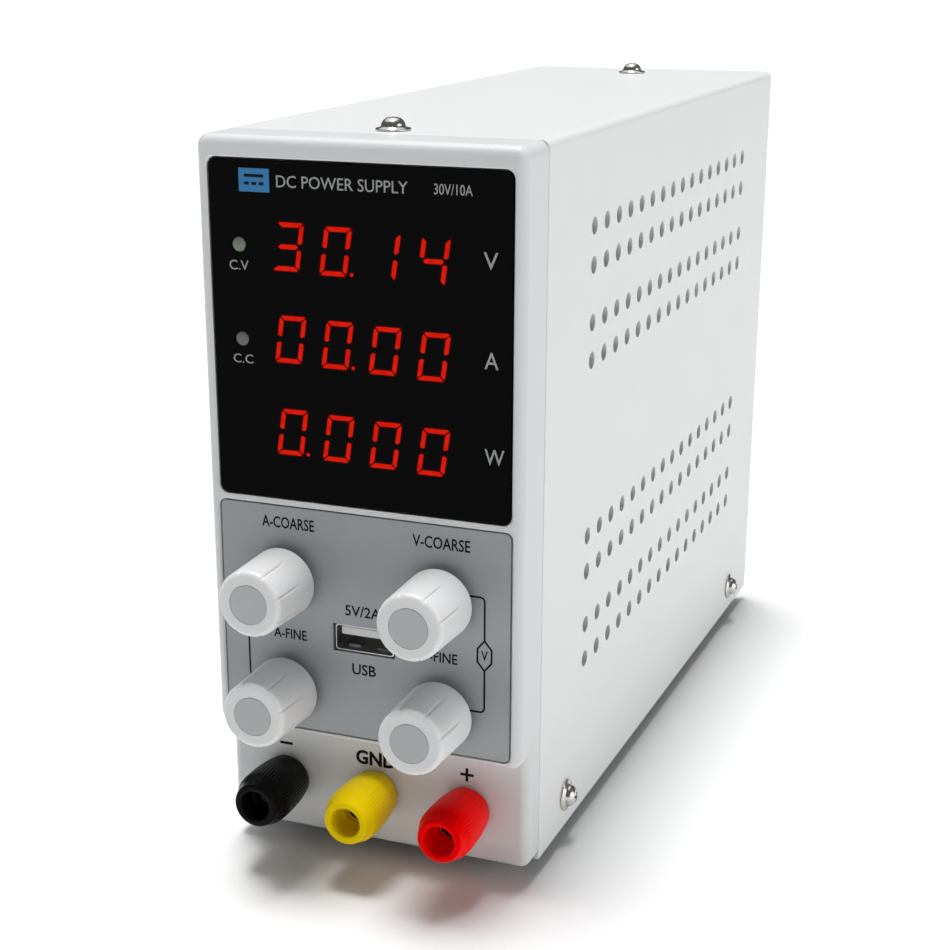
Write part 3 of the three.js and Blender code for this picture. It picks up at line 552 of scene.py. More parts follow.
bezel = rounded_block("front_bezel", -HALF_WIDTH, HALF_WIDTH, STEP_Z, CASE_TOP,
                      FRONT_Y, 0, 2.4, 2.0)
chin = rounded_block("chin", -HALF_WIDTH, HALF_WIDTH, 0.8, CASE_TOP - 3, CHIN_Y, 0, 2.2, 2.0)
lip = slab("lip", *INNER, -2, 12, INNER_LOW, INNER_TOP)
weld(bezel, chin, lip)
carve(
    bezel,
    slab("hollow", *HOLLOW, -8.4, 13, 27.8, 146.3),
    slab("hollow_low", *HOLLOW, -4.2, 13, 3.0, 146.3),
    pocket(-31.9, 31.9, 77.1, 145.1, 1.9, FRONT_Y, -9.6),
    pocket(-32.1, 32.1, 26.9, 75.9, 1.5, FRONT_Y, -10.4),
    slab("meter_opening", -28.6, 28.6, -12, -5, 80.9, 141.3),
    slab("usb_opening", -7.5, 7.5, -12, -5, 45.6, 52.2),
    *[drill("hole", spot(x, -9, z), SHAFT_HOLE, 8 * MM, (0, 1, 0), 32)
      for _, _, x, z in knob_places],
    *[drill("hole", spot(x, -5, POST_Z), POST_HOLE, 6 * MM, (0, 1, 0), 32)
      for _, x in post_places],
    drill("hole", spot(0, 6.2, 147), SCREW_HOLE, 8 * MM, (0, 0, 1)),
    drill("hole", spot(-32, -6, 74.4), SCREW_HOLE, 8 * MM, (1, 0, 0)),
)
fit(bezel, "front_bezel", "case", front_plastic, angle=28)

# ---- meter window ------------------------------------------------------------
# A smoked acrylic plate pressed into its pocket. Three rows of lit figures show
# through it, with printed letters beside them and two lamps in holes at its left.

GLASS_Y = -11.5
PRINT = 0.04                        # how far the ink stands out
LAMP_X = -25.4
LAMP_HOLE = 1.6 * MM

window_black = surface("window_black", (0.0018, 0.0019, 0.0021), 0.07, mottle=0.25,
                       mottle_size=0.05, uneven=0.02, Specular_IOR_Level=0.03)
window = rounded_block("display_window", -31.6, 31.6, 77.4, 144.8, GLASS_Y, -9.9, 1.6, 0.22, 3)
lamp_places = (("cv", 128.3), ("cc", 109.6))
carve(window, *[drill("hole", spot(LAMP_X, -10.5, z), LAMP_HOLE, 6 * MM, (0, 1, 0), 40)
                for _, z in lamp_places])
fit(window, "display_window", "case", window_black, angle=25)

LAMP_COLOURS = {"cv": (0.16, 0.20, 0.15), "cc": (0.11, 0.115, 0.12)}
for mode, z in lamp_places:
    lens = surface(f"{mode}_lamp_lens", LAMP_COLOURS[mode], 0.35, mottle=0.18, mottle_size=0.0012,
                   Coat_Weight=0.3)
    profile = [(0, -8), (1.9, -8), (1.9, -7), (1.5, -7)] + arc((1.2, -0.3), 0.3, 0, 80, 3)
    profile += [(0.7, 0.04), (0, 0.06)]
    lamp = turned(f"{mode}_lamp", profile, spot(LAMP_X, GLASS_Y, z), (0, -1, 0), 40, material=lens)
    fit(lamp, f"{mode}_led", "case", angle=32)

FIGURE_LEAN = math.tan(math.radians(8.4))
FIGURE_PITCH = 10.12
BAR_HALF = 0.45                     # half the thickness of a lit bar
BAR_GAP = 0.24                      # between the ends of two bars
REACH_X = 2.43                      # from the figure's middle to its upright bars
REACH_Z = 4.25                      # from the figure's middle to its top bar
ROW_DROOP = 0.032                   # each row falls a little to the right
ROWS = ((128.4, "30.14", -14.6), (110.2, "00.00", -14.6), (91.4, "0.000", -14.75))
BARS_OF = {"0": "abcdef", "1": "bc", "3": "abgcd", "4": "fgbc"}


def bar_outlines(grow):
    """The outlines of a figure's seven bars about its middle, with mitred ends."""
    half, gap = BAR_HALF + grow, BAR_GAP - grow * 0.9
    x0, x1, z0, z1 = REACH_X - half, REACH_X + half, REACH_Z - half, REACH_Z + half
    top = [(-x1 + gap + 0.3, z1), (x1 - gap - 0.3, z1), (x1 - gap - 0.05, z1 - 0.25),
           (x0 - gap, z0), (-x0 + gap, z0), (-x1 + gap + 0.05, z1 - 0.25)]
    side = [(x1, z1 - gap - 0.55), (x1 - 0.22, z1 - gap - 0.22), (x0, z0 - gap),
            (x0, half + gap), (REACH_X, gap + 0.32), (x1, gap + 0.62)]
    bar = REACH_X - gap - 0.1
    middle = [(-bar, 0), (half - bar, half), (bar - half, half), (bar, 0), (bar - half, -half),
              (half - bar, -half)]
    flip = {"a": (top, 1, 1), "d": (top, 1, -1), "b": (side, 1, 1), "c": (side, 1, -1),
            "f": (side, -1, 1), "e": (side, -1, -1), "g": (middle, 1, 1)}
    return {k: [(sx * x, sz * z) for x, z in line] for k, (line, sx, sz) in flip.items()}


def plates(name, outlines, front, depth, material):
    """Thin flat plates of these outlines, in mm, all at one front plane."""
    points, faces = [], []
    for outline in outlines:
        n, first = len(outline), len(points)
        for y in (front, front + depth):
            points += [spot(x, y, z) for x, z in outline]
        faces.append([first + k for k in range(n)])
        faces.append([first + n + k for k in range(n)])
        for k in range(n):
            j = (k + 1) % n
            faces.append([first + k, first + j, first + j + n, first + k + n])
    return piece_from(name, points, faces, material)


def figures(name, grow, dot_radius, front, material):
    """All the figures of the three rows, each bar grown by an amount, as one piece."""
    bars = bar_outlines(grow)
    outlines = []
    for middle_z, text, middle_x in ROWS:
        place = 0
        for mark in text:
            across = (place - (mark == ".")) * FIGURE_PITCH
            x, z = middle_x + across, middle_z - across * ROW_DROOP
            if mark == ".":
                outlines.append(arc((x + 3.3, z - REACH_Z), dot_radius, 0, 337.5, 15))
                continue
            for bar in BARS_OF[mark]:
                outlines.append([(x + u + v * FIGURE_LEAN, z + v) for u, v in bars[bar]])
            place += 1
    piece = plates(name, outlines, front, 0.06, material)
    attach(piece, "case")


def glowing(name, dim, bright):
    """A red light that is a little uneven over each bar."""
    material = surface(name, [0.3 * c for c in dim], 0.4, Specular_IOR_Level=0.02)
    tree = material.node_tree
    add = adder(tree)
    place = tree.nodes["Texture Coordinate"].outputs["Object"]
    patch = add("ShaderNodeTexNoise", {"Vector": place, "Scale": 700})["Fac"]
    wire(tree, tree.nodes["Principled BSDF"], {
        "Emission Color": blend(add, patch, dim, bright), "Emission Strength": 1.0})
    return material


figures("figure_glow", 0.20, 0.55, GLASS_Y - 0.05,
        glowing("figure_glow", (0.022, 0.0008, 0.0), (0.045, 0.002, 0.001)))
figures("meter_figures", 0.0, 0.36, GLASS_Y - 0.07,
        glowing("figure_red", (0.42, 0.003, 0.001), (0.74, 0.014, 0.003)))


def mesh_of(piece):
    """The mesh of a piece that is used up."""
    mesh = piece.data
    bpy.data.objects.remove(piece)
    return mesh


def lettering(text, left, right, low, high, front, weight=0.012):
    """Flat letters that fill a box on a plane that faces the front, in mm."""
    curve = bpy.data.curves.new(text, "FONT")
    curve.body = text
    curve.resolution_u = 3
    curve.extrude = 0.5
    curve.offset = weight
    letters = bpy.data.objects.new(text, curve)
    bpy.context.collection.objects.link(letters)
    graph = bpy.context.evaluated_depsgraph_get()
    mesh = bpy.data.meshes.new_from_object(letters.evaluated_get(graph))
    bpy.data.objects.remove(letters)
    xs = [v.co.x for v in mesh.vertices]
    ys = [v.co.y for v in mesh.vertices]
    for v in mesh.vertices:
        across = (v.co.x - min(xs)) / (max(xs) - min(xs))
        up = (v.co.y - min(ys)) / (max(ys) - min(ys))
        v.co = spot(left + across * (right - left), front - (v.co.z + 0.5) * PRINT,
                    low + up * (high - low))
    return mesh


def stroke(path, width, front, closed=False):
    """A flat line of this width along a path, in mm, on a plane that faces the front."""
    count = len(path)
    left, right = [], []
    for k, (x, z) in enumerate(path):
        back = path[k - 1] if k or closed else path[k]
        ahead = path[(k + 1) % count] if k < count - 1 or closed else path[k]
        a = Vector((x - back[0], z - back[1]))
        b = Vector((ahead[0] - x, ahead[1] - z))
        a = a.normalized() if a.length else b.normalized()
        b = b.normalized() if b.length else a
        along = (a + b).normalized()
        out = width / 2 / max(along.dot(a), 0.4)
        left.append((x - along.y * out, z + along.x * out))
        right.append((x + along.y * out, z - along.x * out))
    points, faces = [], []
    for y in (front - PRINT, front):
        points += [spot(px, y, pz) for px, pz in left + right]
    last = count if closed else count - 1
    for k in range(last):
        n = (k + 1) % count
        faces.append([k, n, n + count, k + count])
        faces.append([k + 2 * count, k + 3 * count, n + 3 * count, n + 2 * count])
        faces.append([k, k + 2 * count, n + 2 * count, n])
        faces.append([k + count, n + count, n + 3 * count, k + 3 * count])
    if not closed:
        for k in (0, count - 1):
            faces.append([k, k + count, k + 3 * count, k + 2 * count])
    return mesh_of(piece_from("stroke", points, faces))


def printed(name, meshes, material):
    """One piece of several flat meshes in one ink."""
    shape = bmesh.new()
    for mesh in meshes:
        shape.from_mesh(mesh)
        bpy.data.meshes.remove(mesh)
    piece = closed_piece(name, shape, material)
    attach(piece, "case")


grey_print = surface("grey_print", (0.36, 0.37, 0.38), 0.5, mottle=0.08, mottle_size=0.002)
printed("window_lettering", [
    lettering("V", 25.8, 28.7, 126.6, 129.8, GLASS_Y, 0),
    lettering("A", 26.1, 28.9, 107.8, 111.0, GLASS_Y, 0),
    lettering("W", 26.2, 30.2, 89.1, 92.2, GLASS_Y, 0),
    lettering("C.V", -27.6, -23.4, 123.3, 125.2, GLASS_Y, 0),
    lettering("C.C", -27.5, -23.1, 104.7, 106.5, GLASS_Y, 0),
    lettering("DC POWER SUPPLY", -16.8, 10.6, 139.7, 142.0, GLASS_Y, 0),
    lettering("30V/10A", 15.9, 23.6, 139.9, 141.9, GLASS_Y, 0),
], grey_print)
blue_print = surface("blue_print", (0.012, 0.20, 0.46), 0.45, mottle=0.06, mottle_size=0.003)
printed("window_badge", [
    stroke([(-24.9, 140.85), (-18.3, 140.85)], 4.5, GLASS_Y),
], blue_print)
black_print = surface("black_print", (0.006, 0.006, 0.007), 0.45, mottle=0.1, mottle_size=0.002,
                      Specular_IOR_Level=0.1)
printed("window_badge_sign", [
    stroke([(-23.7, 141.7), (-19.5, 141.7)], 0.55, GLASS_Y - 2 * PRINT),
    *[stroke([(x, 140.2), (x + 1.0, 140.2)], 0.55, GLASS_Y - 2 * PRINT)
      for x in (-23.7, -22.1, -20.5)],
], black_print)

# ---- control overlay ---------------------------------------------------------
# A satin grey plate in the lower pocket, with holes for the four shafts and the
# USB outlet. Its letters and the lines that join the coarse and fine knobs are ink.

overlay_grey = surface("overlay_grey", (0.350, 0.370, 0.388), 0.38, mottle=0.03, mottle_size=0.02,
                       grain=0.000012, grain_size=0.0004, uneven=0.05)
overlay = rounded_block("control_overlay", -31.8, 31.8, 27.2, 75.6, GLASS_Y, -10.7, 1.2, 0.15, 2)
carve(
    overlay,
    slab("usb_cut", -6.95, 6.95, -13, -8, 45.85, 51.95),
    *[drill("hole", spot(x, -11, z), SHAFT_HOLE, 6 * MM, (0, 1, 0), 40)
      for _, _, x, z in knob_places],
)
fit(overlay, "control_overlay", "case", overlay_grey, angle=25)


def bracket(side):
    """The line from the coarse knob to the fine one, with a six-sided label in its middle."""
    x, line = side * 26.4, 0.38
    corner = [(x - side * (0.9 - 0.9 * math.cos(a)), 61.0 + 0.9 * math.sin(a))
              for a in (math.pi / 2, math.pi / 3, math.pi / 6, 0)]
    lower = [(px, 99.3 - pz) for px, pz in reversed(corner)]
    label = [(x, 52.8), (x + 1.5, 51.0), (x + 1.5, 48.2), (x, 46.4), (x - 1.5, 48.2),
             (x - 1.5, 51.0)]
    return [
        stroke([(x - side * 5.5, 61.9)] + corner + [(x, 52.8)], line, GLASS_Y),
        stroke([(x, 46.4)] + lower + [(x - side * 5.5, 37.4)], line, GLASS_Y),
        stroke(label, line, GLASS_Y, closed=True),
    ]


printed("overlay_lettering", [
    lettering("A-COARSE", -22.4, -10.6, 70.95, 73.4, GLASS_Y),
    lettering("V-COARSE", 11.05, 23.3, 70.8, 73.3, GLASS_Y),
    lettering("5V/2A", -4.0, 3.9, 54.0, 56.3, GLASS_Y),
    lettering("USB", -2.65, 2.65, 41.3, 43.7, GLASS_Y),
    lettering("A-FINE", -20.5, -12.9, 47.0, 49.2, GLASS_Y),
    lettering("V-FINE", 12.8, 20.6, 46.8, 49.0, GLASS_Y),
    lettering("V", 25.7, 27.1, 48.6, 50.7, GLASS_Y),
    lettering("A", -27.1, -25.7, 48.6, 50.7, GLASS_Y),
    *bracket(1), *bracket(-1),
], black_print)
plus = [(0.3, 0.3), (0.3, 1.5), (-0.3, 1.5), (-0.3, 0.3), (-1.5, 0.3), (-1.5, -0.3),
        (-0.3, -0.3), (-0.3, -1.5), (0.3, -1.5), (0.3, -0.3), (1.5, -0.3), (1.5, 0.3)]
printed("chin_lettering", [
    stroke([(-22.6, 20.4), (-19.6, 20.4)], 0.6, CHIN_Y),
    mesh_of(plates("plus", [[(20.7 + x, 20.4 + z) for x, z in plus]], CHIN_Y - PRINT, PRINT,
                   black_print)),
    lettering("GND", -4.6, 4.6, 18.6, 21.9, CHIN_Y, 0.035),
], black_print)

# ---- knobs -------------------------------------------------------------------
# White moulded knobs pushed onto 6 mm shafts. Each tapers to a round rim, has
# eight short finger grooves, and a flat disc pressed into its end.

KNOB_REAR = -13.4
GROOVES = 8
FIRST_GROOVE = math.radians(17)
GROOVE_HALF = 0.36                  # half the groove's width
GROOVE_DEPTH = 0.36

knob_white = surface("knob_white", (0.76, 0.77, 0.772), 0.36, mottle=0.015, mottle_size=0.006,
                     grain=0.00001, grain_size=0.0004, uneven=0.05,
                     Subsurface_Weight=0.12, Subsurface_Scale=0.002)
# The end disc is a real separate part, but its grey is painted shade: it is much darker than the knob's
# white so that the knob's front face looks shaded.
disc_grey_painted_shade = surface("knob_disc", (0.47, 0.48, 0.485), 0.42, mottle=0.02, mottle_size=0.004)


def rise(low, high, value):
    """Goes smoothly from 0 at low to 1 at high."""
    part = min(max((value - low) / (high - low), 0), 1)
    return part * part * (3 - 2 * part)


def finger_groove(angle, radius, height):
    """The grooves' depth, which grows towards the front and eases at the rim."""
    if radius < 4.5:
        return 0
    share = (angle - FIRST_GROOVE) * GROOVES / (2 * math.pi)
    off = (share - round(share)) * 2 * math.pi / GROOVES * radius
    depth = max(0, 1 - abs(off / GROOVE_HALF)) * GROOVE_DEPTH
    return -depth * rise(5.0, 7.5, height) * (1 - 0.45 * rise(13.0, 14.8, height))


knob_profile = [(0, 11.9), (3.35, 11.9), (3.35, 0), (7.05, 0), (7.3, 0.25)]
knob_profile += [(7.3 - 0.36 * h / 13.9, h) for h in (2.0, 4.0, 5.2, 5.7, 6.3, 7.0, 8, 10, 12, 13)]
knob_profile += arc((5.79, 13.72), 1.16, 5, 88, 10)
knob_profile += [(4.20, 14.89), (4.13, 14.7), (0, 14.7)]
disc_profile = [(0, 14.7), (4.07, 14.7), (4.07, 14.8), (3.97, 14.87), (0, 14.88)]
for kind, size, x, z in knob_places:
    name = f"{kind}_{size}"
    knob = turned(f"{name}_knob", knob_profile, spot(x, KNOB_REAR, z), (0, -1, 0), 42 * GROOVES,
                  finger_groove, knob_white)
    smooth(knob, 30)
    disc = turned(f"{name}_knob_disc", disc_profile, spot(x, KNOB_REAR, z), (0, -1, 0), 64,
                  material=disc_grey_painted_shade)
    smooth(disc, 30)
    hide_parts(f"{name}_knob")
    for piece in (knob, disc):
        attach(piece, f"{name}_control")

# ---- USB outlet --------------------------------------------------------------
# A folded steel shell behind the overlay's opening. A white tongue inside it
# carries four gilt contacts on its underside, and two springs rise from the floor.

USB_Y = -11.0
USB_Z = 48.9


def about(middle, half):
    """The two ends of a size that lies evenly about a middle."""
    return middle - half, middle + half


steel = surface("zinc_steel", (0.55, 0.56, 0.57), 0.32, metallic=1.0, mottle=0.12,
                mottle_size=0.006)
gilt = surface("gilt_contact", (0.83, 0.60, 0.24), 0.25, metallic=1.0, mottle=0.1,
               mottle_size=0.002)
tongue_white = surface("tongue_white", (0.74, 0.74, 0.72), 0.4, mottle=0.03, mottle_size=0.003)

shell = rounded_block("usb_socket_shell", -6.55, 6.55, *about(USB_Z, 2.85),
                      USB_Y, USB_Y + 14, 0.7, 0.12, 2)
carve(shell, rounded_block("bore", -6.25, 6.25, *about(USB_Z, 2.55), USB_Y - 1, USB_Y + 15,
                           0.5, 0.01, 1))
springs = [slab("spring", *about(x, 1.3), USB_Y + 2.2, USB_Y + 7, USB_Z - 2.56, USB_Z - 2.2)
           for x in (-3.2, 3.2)]
weld(shell, *springs)
fit(shell, "usb_socket_shell", "case", steel)

tongue = rounded_block("usb_tongue", -5.6, 5.6, USB_Z + 0.3, USB_Z + 2.1, USB_Y + 0.9, USB_Y + 12,
                       0.35, 0.3, 3)
weld(tongue, slab("heel", -5.9, 5.9, USB_Y + 11.5, USB_Y + 13.5, *about(USB_Z, 2.2)))
fit(tongue, "usb_tongue", "case", tongue_white)
contacts = plates("usb_contacts", [
    [(x - 0.5, USB_Z + 0.12), (x + 0.5, USB_Z + 0.12), (x + 0.5, USB_Z + 0.29),
     (x - 0.5, USB_Z + 0.29)]
    for x in (-3.5, -1.0, 1.0, 3.5)
], USB_Y + 2.0, 9, gilt)
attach(contacts, "case")

# ---- binding posts -----------------------------------------------------------
# Each post is a threaded nickel stud with a 4 mm socket, held by a hexagon behind
# the chin. A barrel-shaped cap with fine ribs and a brass insert screws along it
# to clamp a wire.

CAP_REAR = -6.7
RIBS = 52
THREAD_PITCH = 0.8
POST_COLOURS = {
    "minus": ("post_black", (0.005, 0.005, 0.0055), 0.26, (0.7, 0.7, 0.7, 1)),
    "ground": ("post_yellow", (0.86, 0.62, 0.002), 0.24, (1, 0.8, 0.1, 1)),
    "plus": ("post_red", (0.98, 0.001, 0.001), 0.20, (1, 0.05, 0.05, 1)),
}


def cap_ribs(angle, radius, height):
    """Fine ribs along the barrel that end in small teeth at its shoulder."""
    if radius < 4.9 or not 0.2 < height < 12.7:
        return 0
    wave = 0.5 - 0.5 * math.cos(angle * RIBS)
    return -wave * (0.09 + 0.16 * rise(11.2, 12.3, height)) * rise(0.2, 1.2, height)


def thread(angle, radius, height):
    """The screw thread's depth along the stud."""
    if radius < 2.4 or not 1.2 < height < 9:
        return 0
    phase = (height / THREAD_PITCH + angle / (2 * math.pi)) % 1
    return -0.28 * abs(2 * phase - 1)


cap_profile = [(4.0, 0), (4.9, 0), (5.15, 0.25)]
cap_profile += [(5.3, 1.0), (5.55, 2.5), (5.77, 4.5), (5.89, 6.5), (5.95, 8.5), (5.93, 10.3)]
cap_profile += [(5.87, 11.5), (5.78, 12.3), (5.48, 12.75), (5.28, 13.1), (5.05, 13.8)]
cap_profile += [(4.84, 14.4)] + arc((4.12, 14.78), 0.72, 10, 90, 5)
cap_profile += arc((3.6, 15.13), 0.35, 90, 180, 3) + [(3.25, 14), (3.25, 10.7), (3.05, 10.5)]
cap_profile += [(2.4, 10.5), (2.3, 10.3), (2.3, 9.1), (4.0, 9.1), (4.0, 0)]
stud_profile = [(0, -14), (2.7, -14), (2.7, 0)]
stud_profile += [(2.7, h * 0.1) for h in range(10, 92)]
stud_profile += [(2.7, 9.3), (2.55, 9.5), (2.2, 9.5), (2.05, 9.35), (2.05, -9), (0, -9)]
for pole, x in post_places:
    node_slot, colour, roughness, gleam = POST_COLOURS[pole]
    plastic = surface(node_slot, colour, roughness, mottle=0.06, mottle_size=0.003,
                      grain=0.000008, grain_size=0.0003, uneven=0.05, Specular_IOR_Level=0.07,
                      Specular_Tint=gleam)
    seat = spot(x, CHIN_Y, POST_Z)
    cap = turned(f"{pole}_post_cap", cap_profile, spot(x, CAP_REAR, POST_Z), (0, -1, 0), 6 * RIBS,
                 cap_ribs, plastic)
    fit(cap, f"{pole}_post_cap", f"{pole}_post_grip", angle=55)
    stud = turned(f"{pole}_post_stud", stud_profile, seat, (0, -1, 0), 40, thread)
    hexagon = drill("hexagon", spot(x, CHIN_Y + 3.5, POST_Z), 5 * MM, 2 * MM, (0, 1, 0), 6)
    weld(stud, hexagon)
    carve(stud, drill("wire_hole", spot(x, CAP_REAR - 1.6, POST_Z), 1 * MM, 12 * MM, (0, 0, 1), 20))
    fit(stud, f"{pole}_post_stud", "case", nickel, angle=34)

# ---- rubber feet -------------------------------------------------------------
# Four black rubber buttons under the chassis, each with a dished face and the
# head of the screw that holds it.

rubber = surface("rubber", (0.016, 0.016, 0.017), 0.75, mottle=0.25, mottle_size=0.004,
                 grain=0.00005, grain_size=0.0006)
foot_profile = [(0, 0.3)] + [(5.2, 0.3), (5.5, 0.6), (5.15, 3.2)] + arc((4.6, 3.25), 0.55, 0, 90, 4)
foot_profile += [(3.9, 3.8), (3.6, 2.6), (1.9, 2.5), (1.9, 2.0), (0, 1.9)]
for end, y in (("front", 14), ("rear", 168)):
    for side, x in (("left", -24), ("right", 24)):
        foot = turned(f"foot_{end}_{side}", foot_profile, spot(x, y, 0), (0, 0, -1), 56,
                      material=rubber)
        fit(foot, f"foot_{end}_{side}", "case")

# ---- rear panel --------------------------------------------------------------
# A powder-coated steel plate inside the cover's rear edge. The guard in front of
# the fan is punched as four rings of arcs, and the fittings have cut openings.

BACK_Y = 183.8
FAN_Z = 113.0
GUARD_RADII = (7, 13, 19, 25)
ARC_HALF = 1.9                      # half an arc's width
BRIDGE_HALF = 1.6                   # half the bar left between two arcs


def turner():
    """Sets copies of one part evenly round a line along Y through a centre."""
    tree, given, add = new_tree("turner", Part="Object", Count="Int", Centre="Vector")
    part = add("GeometryNodeObjectInfo", {"Object": given["Part"]})
    line = add("GeometryNodeMeshLine", {"Count": given["Count"], "Offset": (0, 0, 0),
                                        "Start Location": given["Centre"]})
    index = add("GeometryNodeInputIndex")
    share = add("ShaderNodeMath", {0: index["Index"], 1: given["Count"]}, operation="DIVIDE")
    angle = add("ShaderNodeMath", {0: share["Value"], 1: 2 * math.pi}, operation="MULTIPLY")
    turn = add("ShaderNodeCombineXYZ", {"Y": angle["Value"]})
    copies = add("GeometryNodeInstanceOnPoints", {
        "Points": line["Mesh"], "Instance": part["Geometry"], "Rotation": turn["Vector"]})
    return end_tree(tree, given, add, copies["Instances"])


round_copies = turner()


def turned_copies(name, part, count, centre, material):
    """One piece of a part's copies round a centre."""
    piece = piece_from(name, [(0, 0, 0)], [])
    run_tree(piece, round_copies, Part=part, Count=count, Centre=tuple(centre), Material=material)
    bpy.data.objects.remove(part)
    return piece


def guard_quarter():
    """Cutters for one quarter of the finger guard's arcs, about the origin."""
    quarter = None
    for radius in GUARD_RADII:
        bridge = BRIDGE_HALF / radius
        steps = 3 + radius // 2
        spans = [bridge + (math.pi / 2 - 2 * bridge) * k / steps for k in range(steps + 1)]
        outline = [(r * math.cos(a), r * math.sin(a)) for r, line in
                   ((radius + ARC_HALF, spans), (radius - ARC_HALF, spans[::-1])) for a in line]
        rings = [[Vector((x, y, z)) * MM for x, z in outline] for y in (-4, 4)]
        arc_cut = loft("arc", rings)
        quarter = weld(quarter, arc_cut) if quarter else arc_cut
    return quarter


panel = slab("rear_panel", *INNER, BACK_Y - 1.2, BACK_Y, INNER_LOW, INNER_TOP)
weld(panel, slab("flange", *INNER, BACK_Y - 25, BACK_Y - 0.01, 146.6, INNER_TOP))
guard = turned_copies("guard", guard_quarter(), 4, spot(0, BACK_Y, FAN_Z), powder_coat)
fan_screw_places = [(x, FAN_Z + z) for x in (-25, 25) for z in (-25, 25)]
carve(
    panel, guard,
    slab("inlet_cut", -27.95, -0.05, BACK_Y - 3, BACK_Y + 2, 10.9, 41.1),
    slab("switch_cut", 11.2, 24.8, BACK_Y - 3, BACK_Y + 2, 19.2, 38.8),
    slab("selector_cut", 7.4, 20.6, BACK_Y - 3, BACK_Y + 2, 58.4, 65.6),
    drill("hole", spot(0, 167, 147), SCREW_HOLE, 6 * MM, (0, 0, 1)),
)
fit(panel, "rear_panel", "case", powder_coat)

seats = [(spot(x, BACK_Y + 0.02, z), (0, 1, 0)) for x, z in fan_screw_places]
set_screws("fan_screws", screw_head(HEAD_DOME, 1.1), seats, 9)

# ---- fan ---------------------------------------------------------------------
# A 60 mm axial fan behind the guard. Seven blades on one hub turn in a square
# black frame, whose four spokes hold the motor.

FAN_REAR = 182.3
FAN_FACE = 167.3
BLADES = 7
BLADE_ROOT = 11.2
BLADE_REACH = 16.1
BLADE_PITCH = 0.9                   # radians at the root
BLADE_TWIST = 0.35                  # what the pitch loses by the tip
BLADE_SWEEP = 0.25

black_plastic = surface("black_plastic", (0.018, 0.018, 0.019), 0.42, mottle=0.15,
                        mottle_size=0.01, grain=0.00002, grain_size=0.0005)
fan_frame = rounded_block("fan_frame", -30, 30, *about(FAN_Z, 30), FAN_REAR, FAN_FACE,
                          4, 0.5, 2)
carve(fan_frame, drill("bore", spot(0, 175, FAN_Z), 28.2 * MM, 30 * MM, (0, 1, 0), 128),
      *[drill("hole", spot(x, 175, z), 1.9 * MM, 30 * MM, (0, 1, 0), 20)
        for x, z in fan_screw_places])
spoke = drill("spoke", (20 * MM, 0, 0), 1.3 * MM, 21 * MM, (1, 0, 0), 12)
spokes = turned_copies("spokes", spoke, 4, spot(0, FAN_FACE + 1.5, FAN_Z), black_plastic)
hub_seat = drill("hub_seat", spot(0, FAN_FACE + 1.4, FAN_Z), 12.8 * MM, 2.4 * MM, (0, 1, 0), 64)
weld(fan_frame, spokes, hub_seat)
fit(fan_frame, "fan_frame", "case", black_plastic)


def fan_blade():
    """One blade about the origin, twisted and swept, thickest in its middle."""
    rings = []
    for k in range(10):
        part = k / 9
        radius = BLADE_ROOT + BLADE_REACH * part
        pitch = BLADE_PITCH - BLADE_TWIST * part
        half = 4 + 1.6 * part
        ring = []
        for across in range(16):
            turn = 2 * math.pi * across / 16
            along = half * math.cos(turn)
            side = 0.55 * math.sin(turn) + 0.5 * (1 - (along / half) ** 2)
            axial = along * math.sin(pitch) + side * math.cos(pitch)
            sweep = (along * math.cos(pitch) - side * math.sin(pitch)) / radius + BLADE_SWEEP * part
            ring.append(Vector((radius * math.cos(sweep), axial, radius * math.sin(sweep))) * MM)
        rings.append(ring)
    return loft("blade", rings)


rotor = turned_copies("fan_rotor", fan_blade(), BLADES, spot(0, 175.3, FAN_Z), black_plastic)
hub_profile = [(0, 0)] + [(11.4, 0), (12, 0.6), (12, 10.6)] + arc((11.1, 10.6), 0.9, 0, 90, 4)
hub_profile += [(7, 11.5), (6.7, 11.3), (0, 11.3)]
hub = turned("hub", hub_profile, spot(0, FAN_FACE + 2.6, FAN_Z), (0, 1, 0), 64)
weld(rotor, hub)
fit(rotor, "fan_rotor", "impeller", black_plastic, angle=32)

# ---- mains inlet and fuse drawer ---------------------------------------------
# A black snap-in inlet with three nickel blades in its mouth. The drawer under the
# mouth slides straight out and holds the fuse.

INLET_X = -14.0
MOUTH_Z = 31.2

inlet = rounded_block("mains_inlet", *about(INLET_X, 15.25), 9.5, 42.5, BACK_Y + 3.3,
                      BACK_Y + 0.3, 2, 0.8, 3)
weld(inlet, slab("housing", *about(INLET_X, 13.6), BACK_Y - 22, BACK_Y + 1, 11.25, 40.75))
mouth = [(-12, -8.2), (12, -8.2), (12, 3.2), (7, 8.2), (-7, 8.2), (-12, 3.2)]
rings = [[spot(INLET_X + x * grow, y, MOUTH_Z + z * grow) for x, z in mouth]
         for y, grow in ((BACK_Y - 13, 1), (BACK_Y + 2.8, 1), (BACK_Y + 4, 1.06))]
carve(inlet, loft("mouth", rings),
      slab("drawer_cut", *about(INLET_X, 11.7), BACK_Y - 19, BACK_Y + 5, 12.2, 19.4))
soften(inlet, 0.25 * MM, 2, 50)
fit(inlet, "mains_inlet", "case", black_plastic)

pins = [rounded_block("pin", *about(INLET_X + x, 1), *about(MOUTH_Z + z, 2),
                      BACK_Y + 0.2, BACK_Y - 14, 0.3, 0.5, 3)
        for x, z in ((-7, -2), (0, 2), (7, -2))]
inlet_pins = weld(pins[0], *pins[1:])
inlet_pins.name = "inlet_pins"
inlet_pins.data.materials.append(nickel)
smooth(inlet_pins, 30)
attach(inlet_pins, "case")

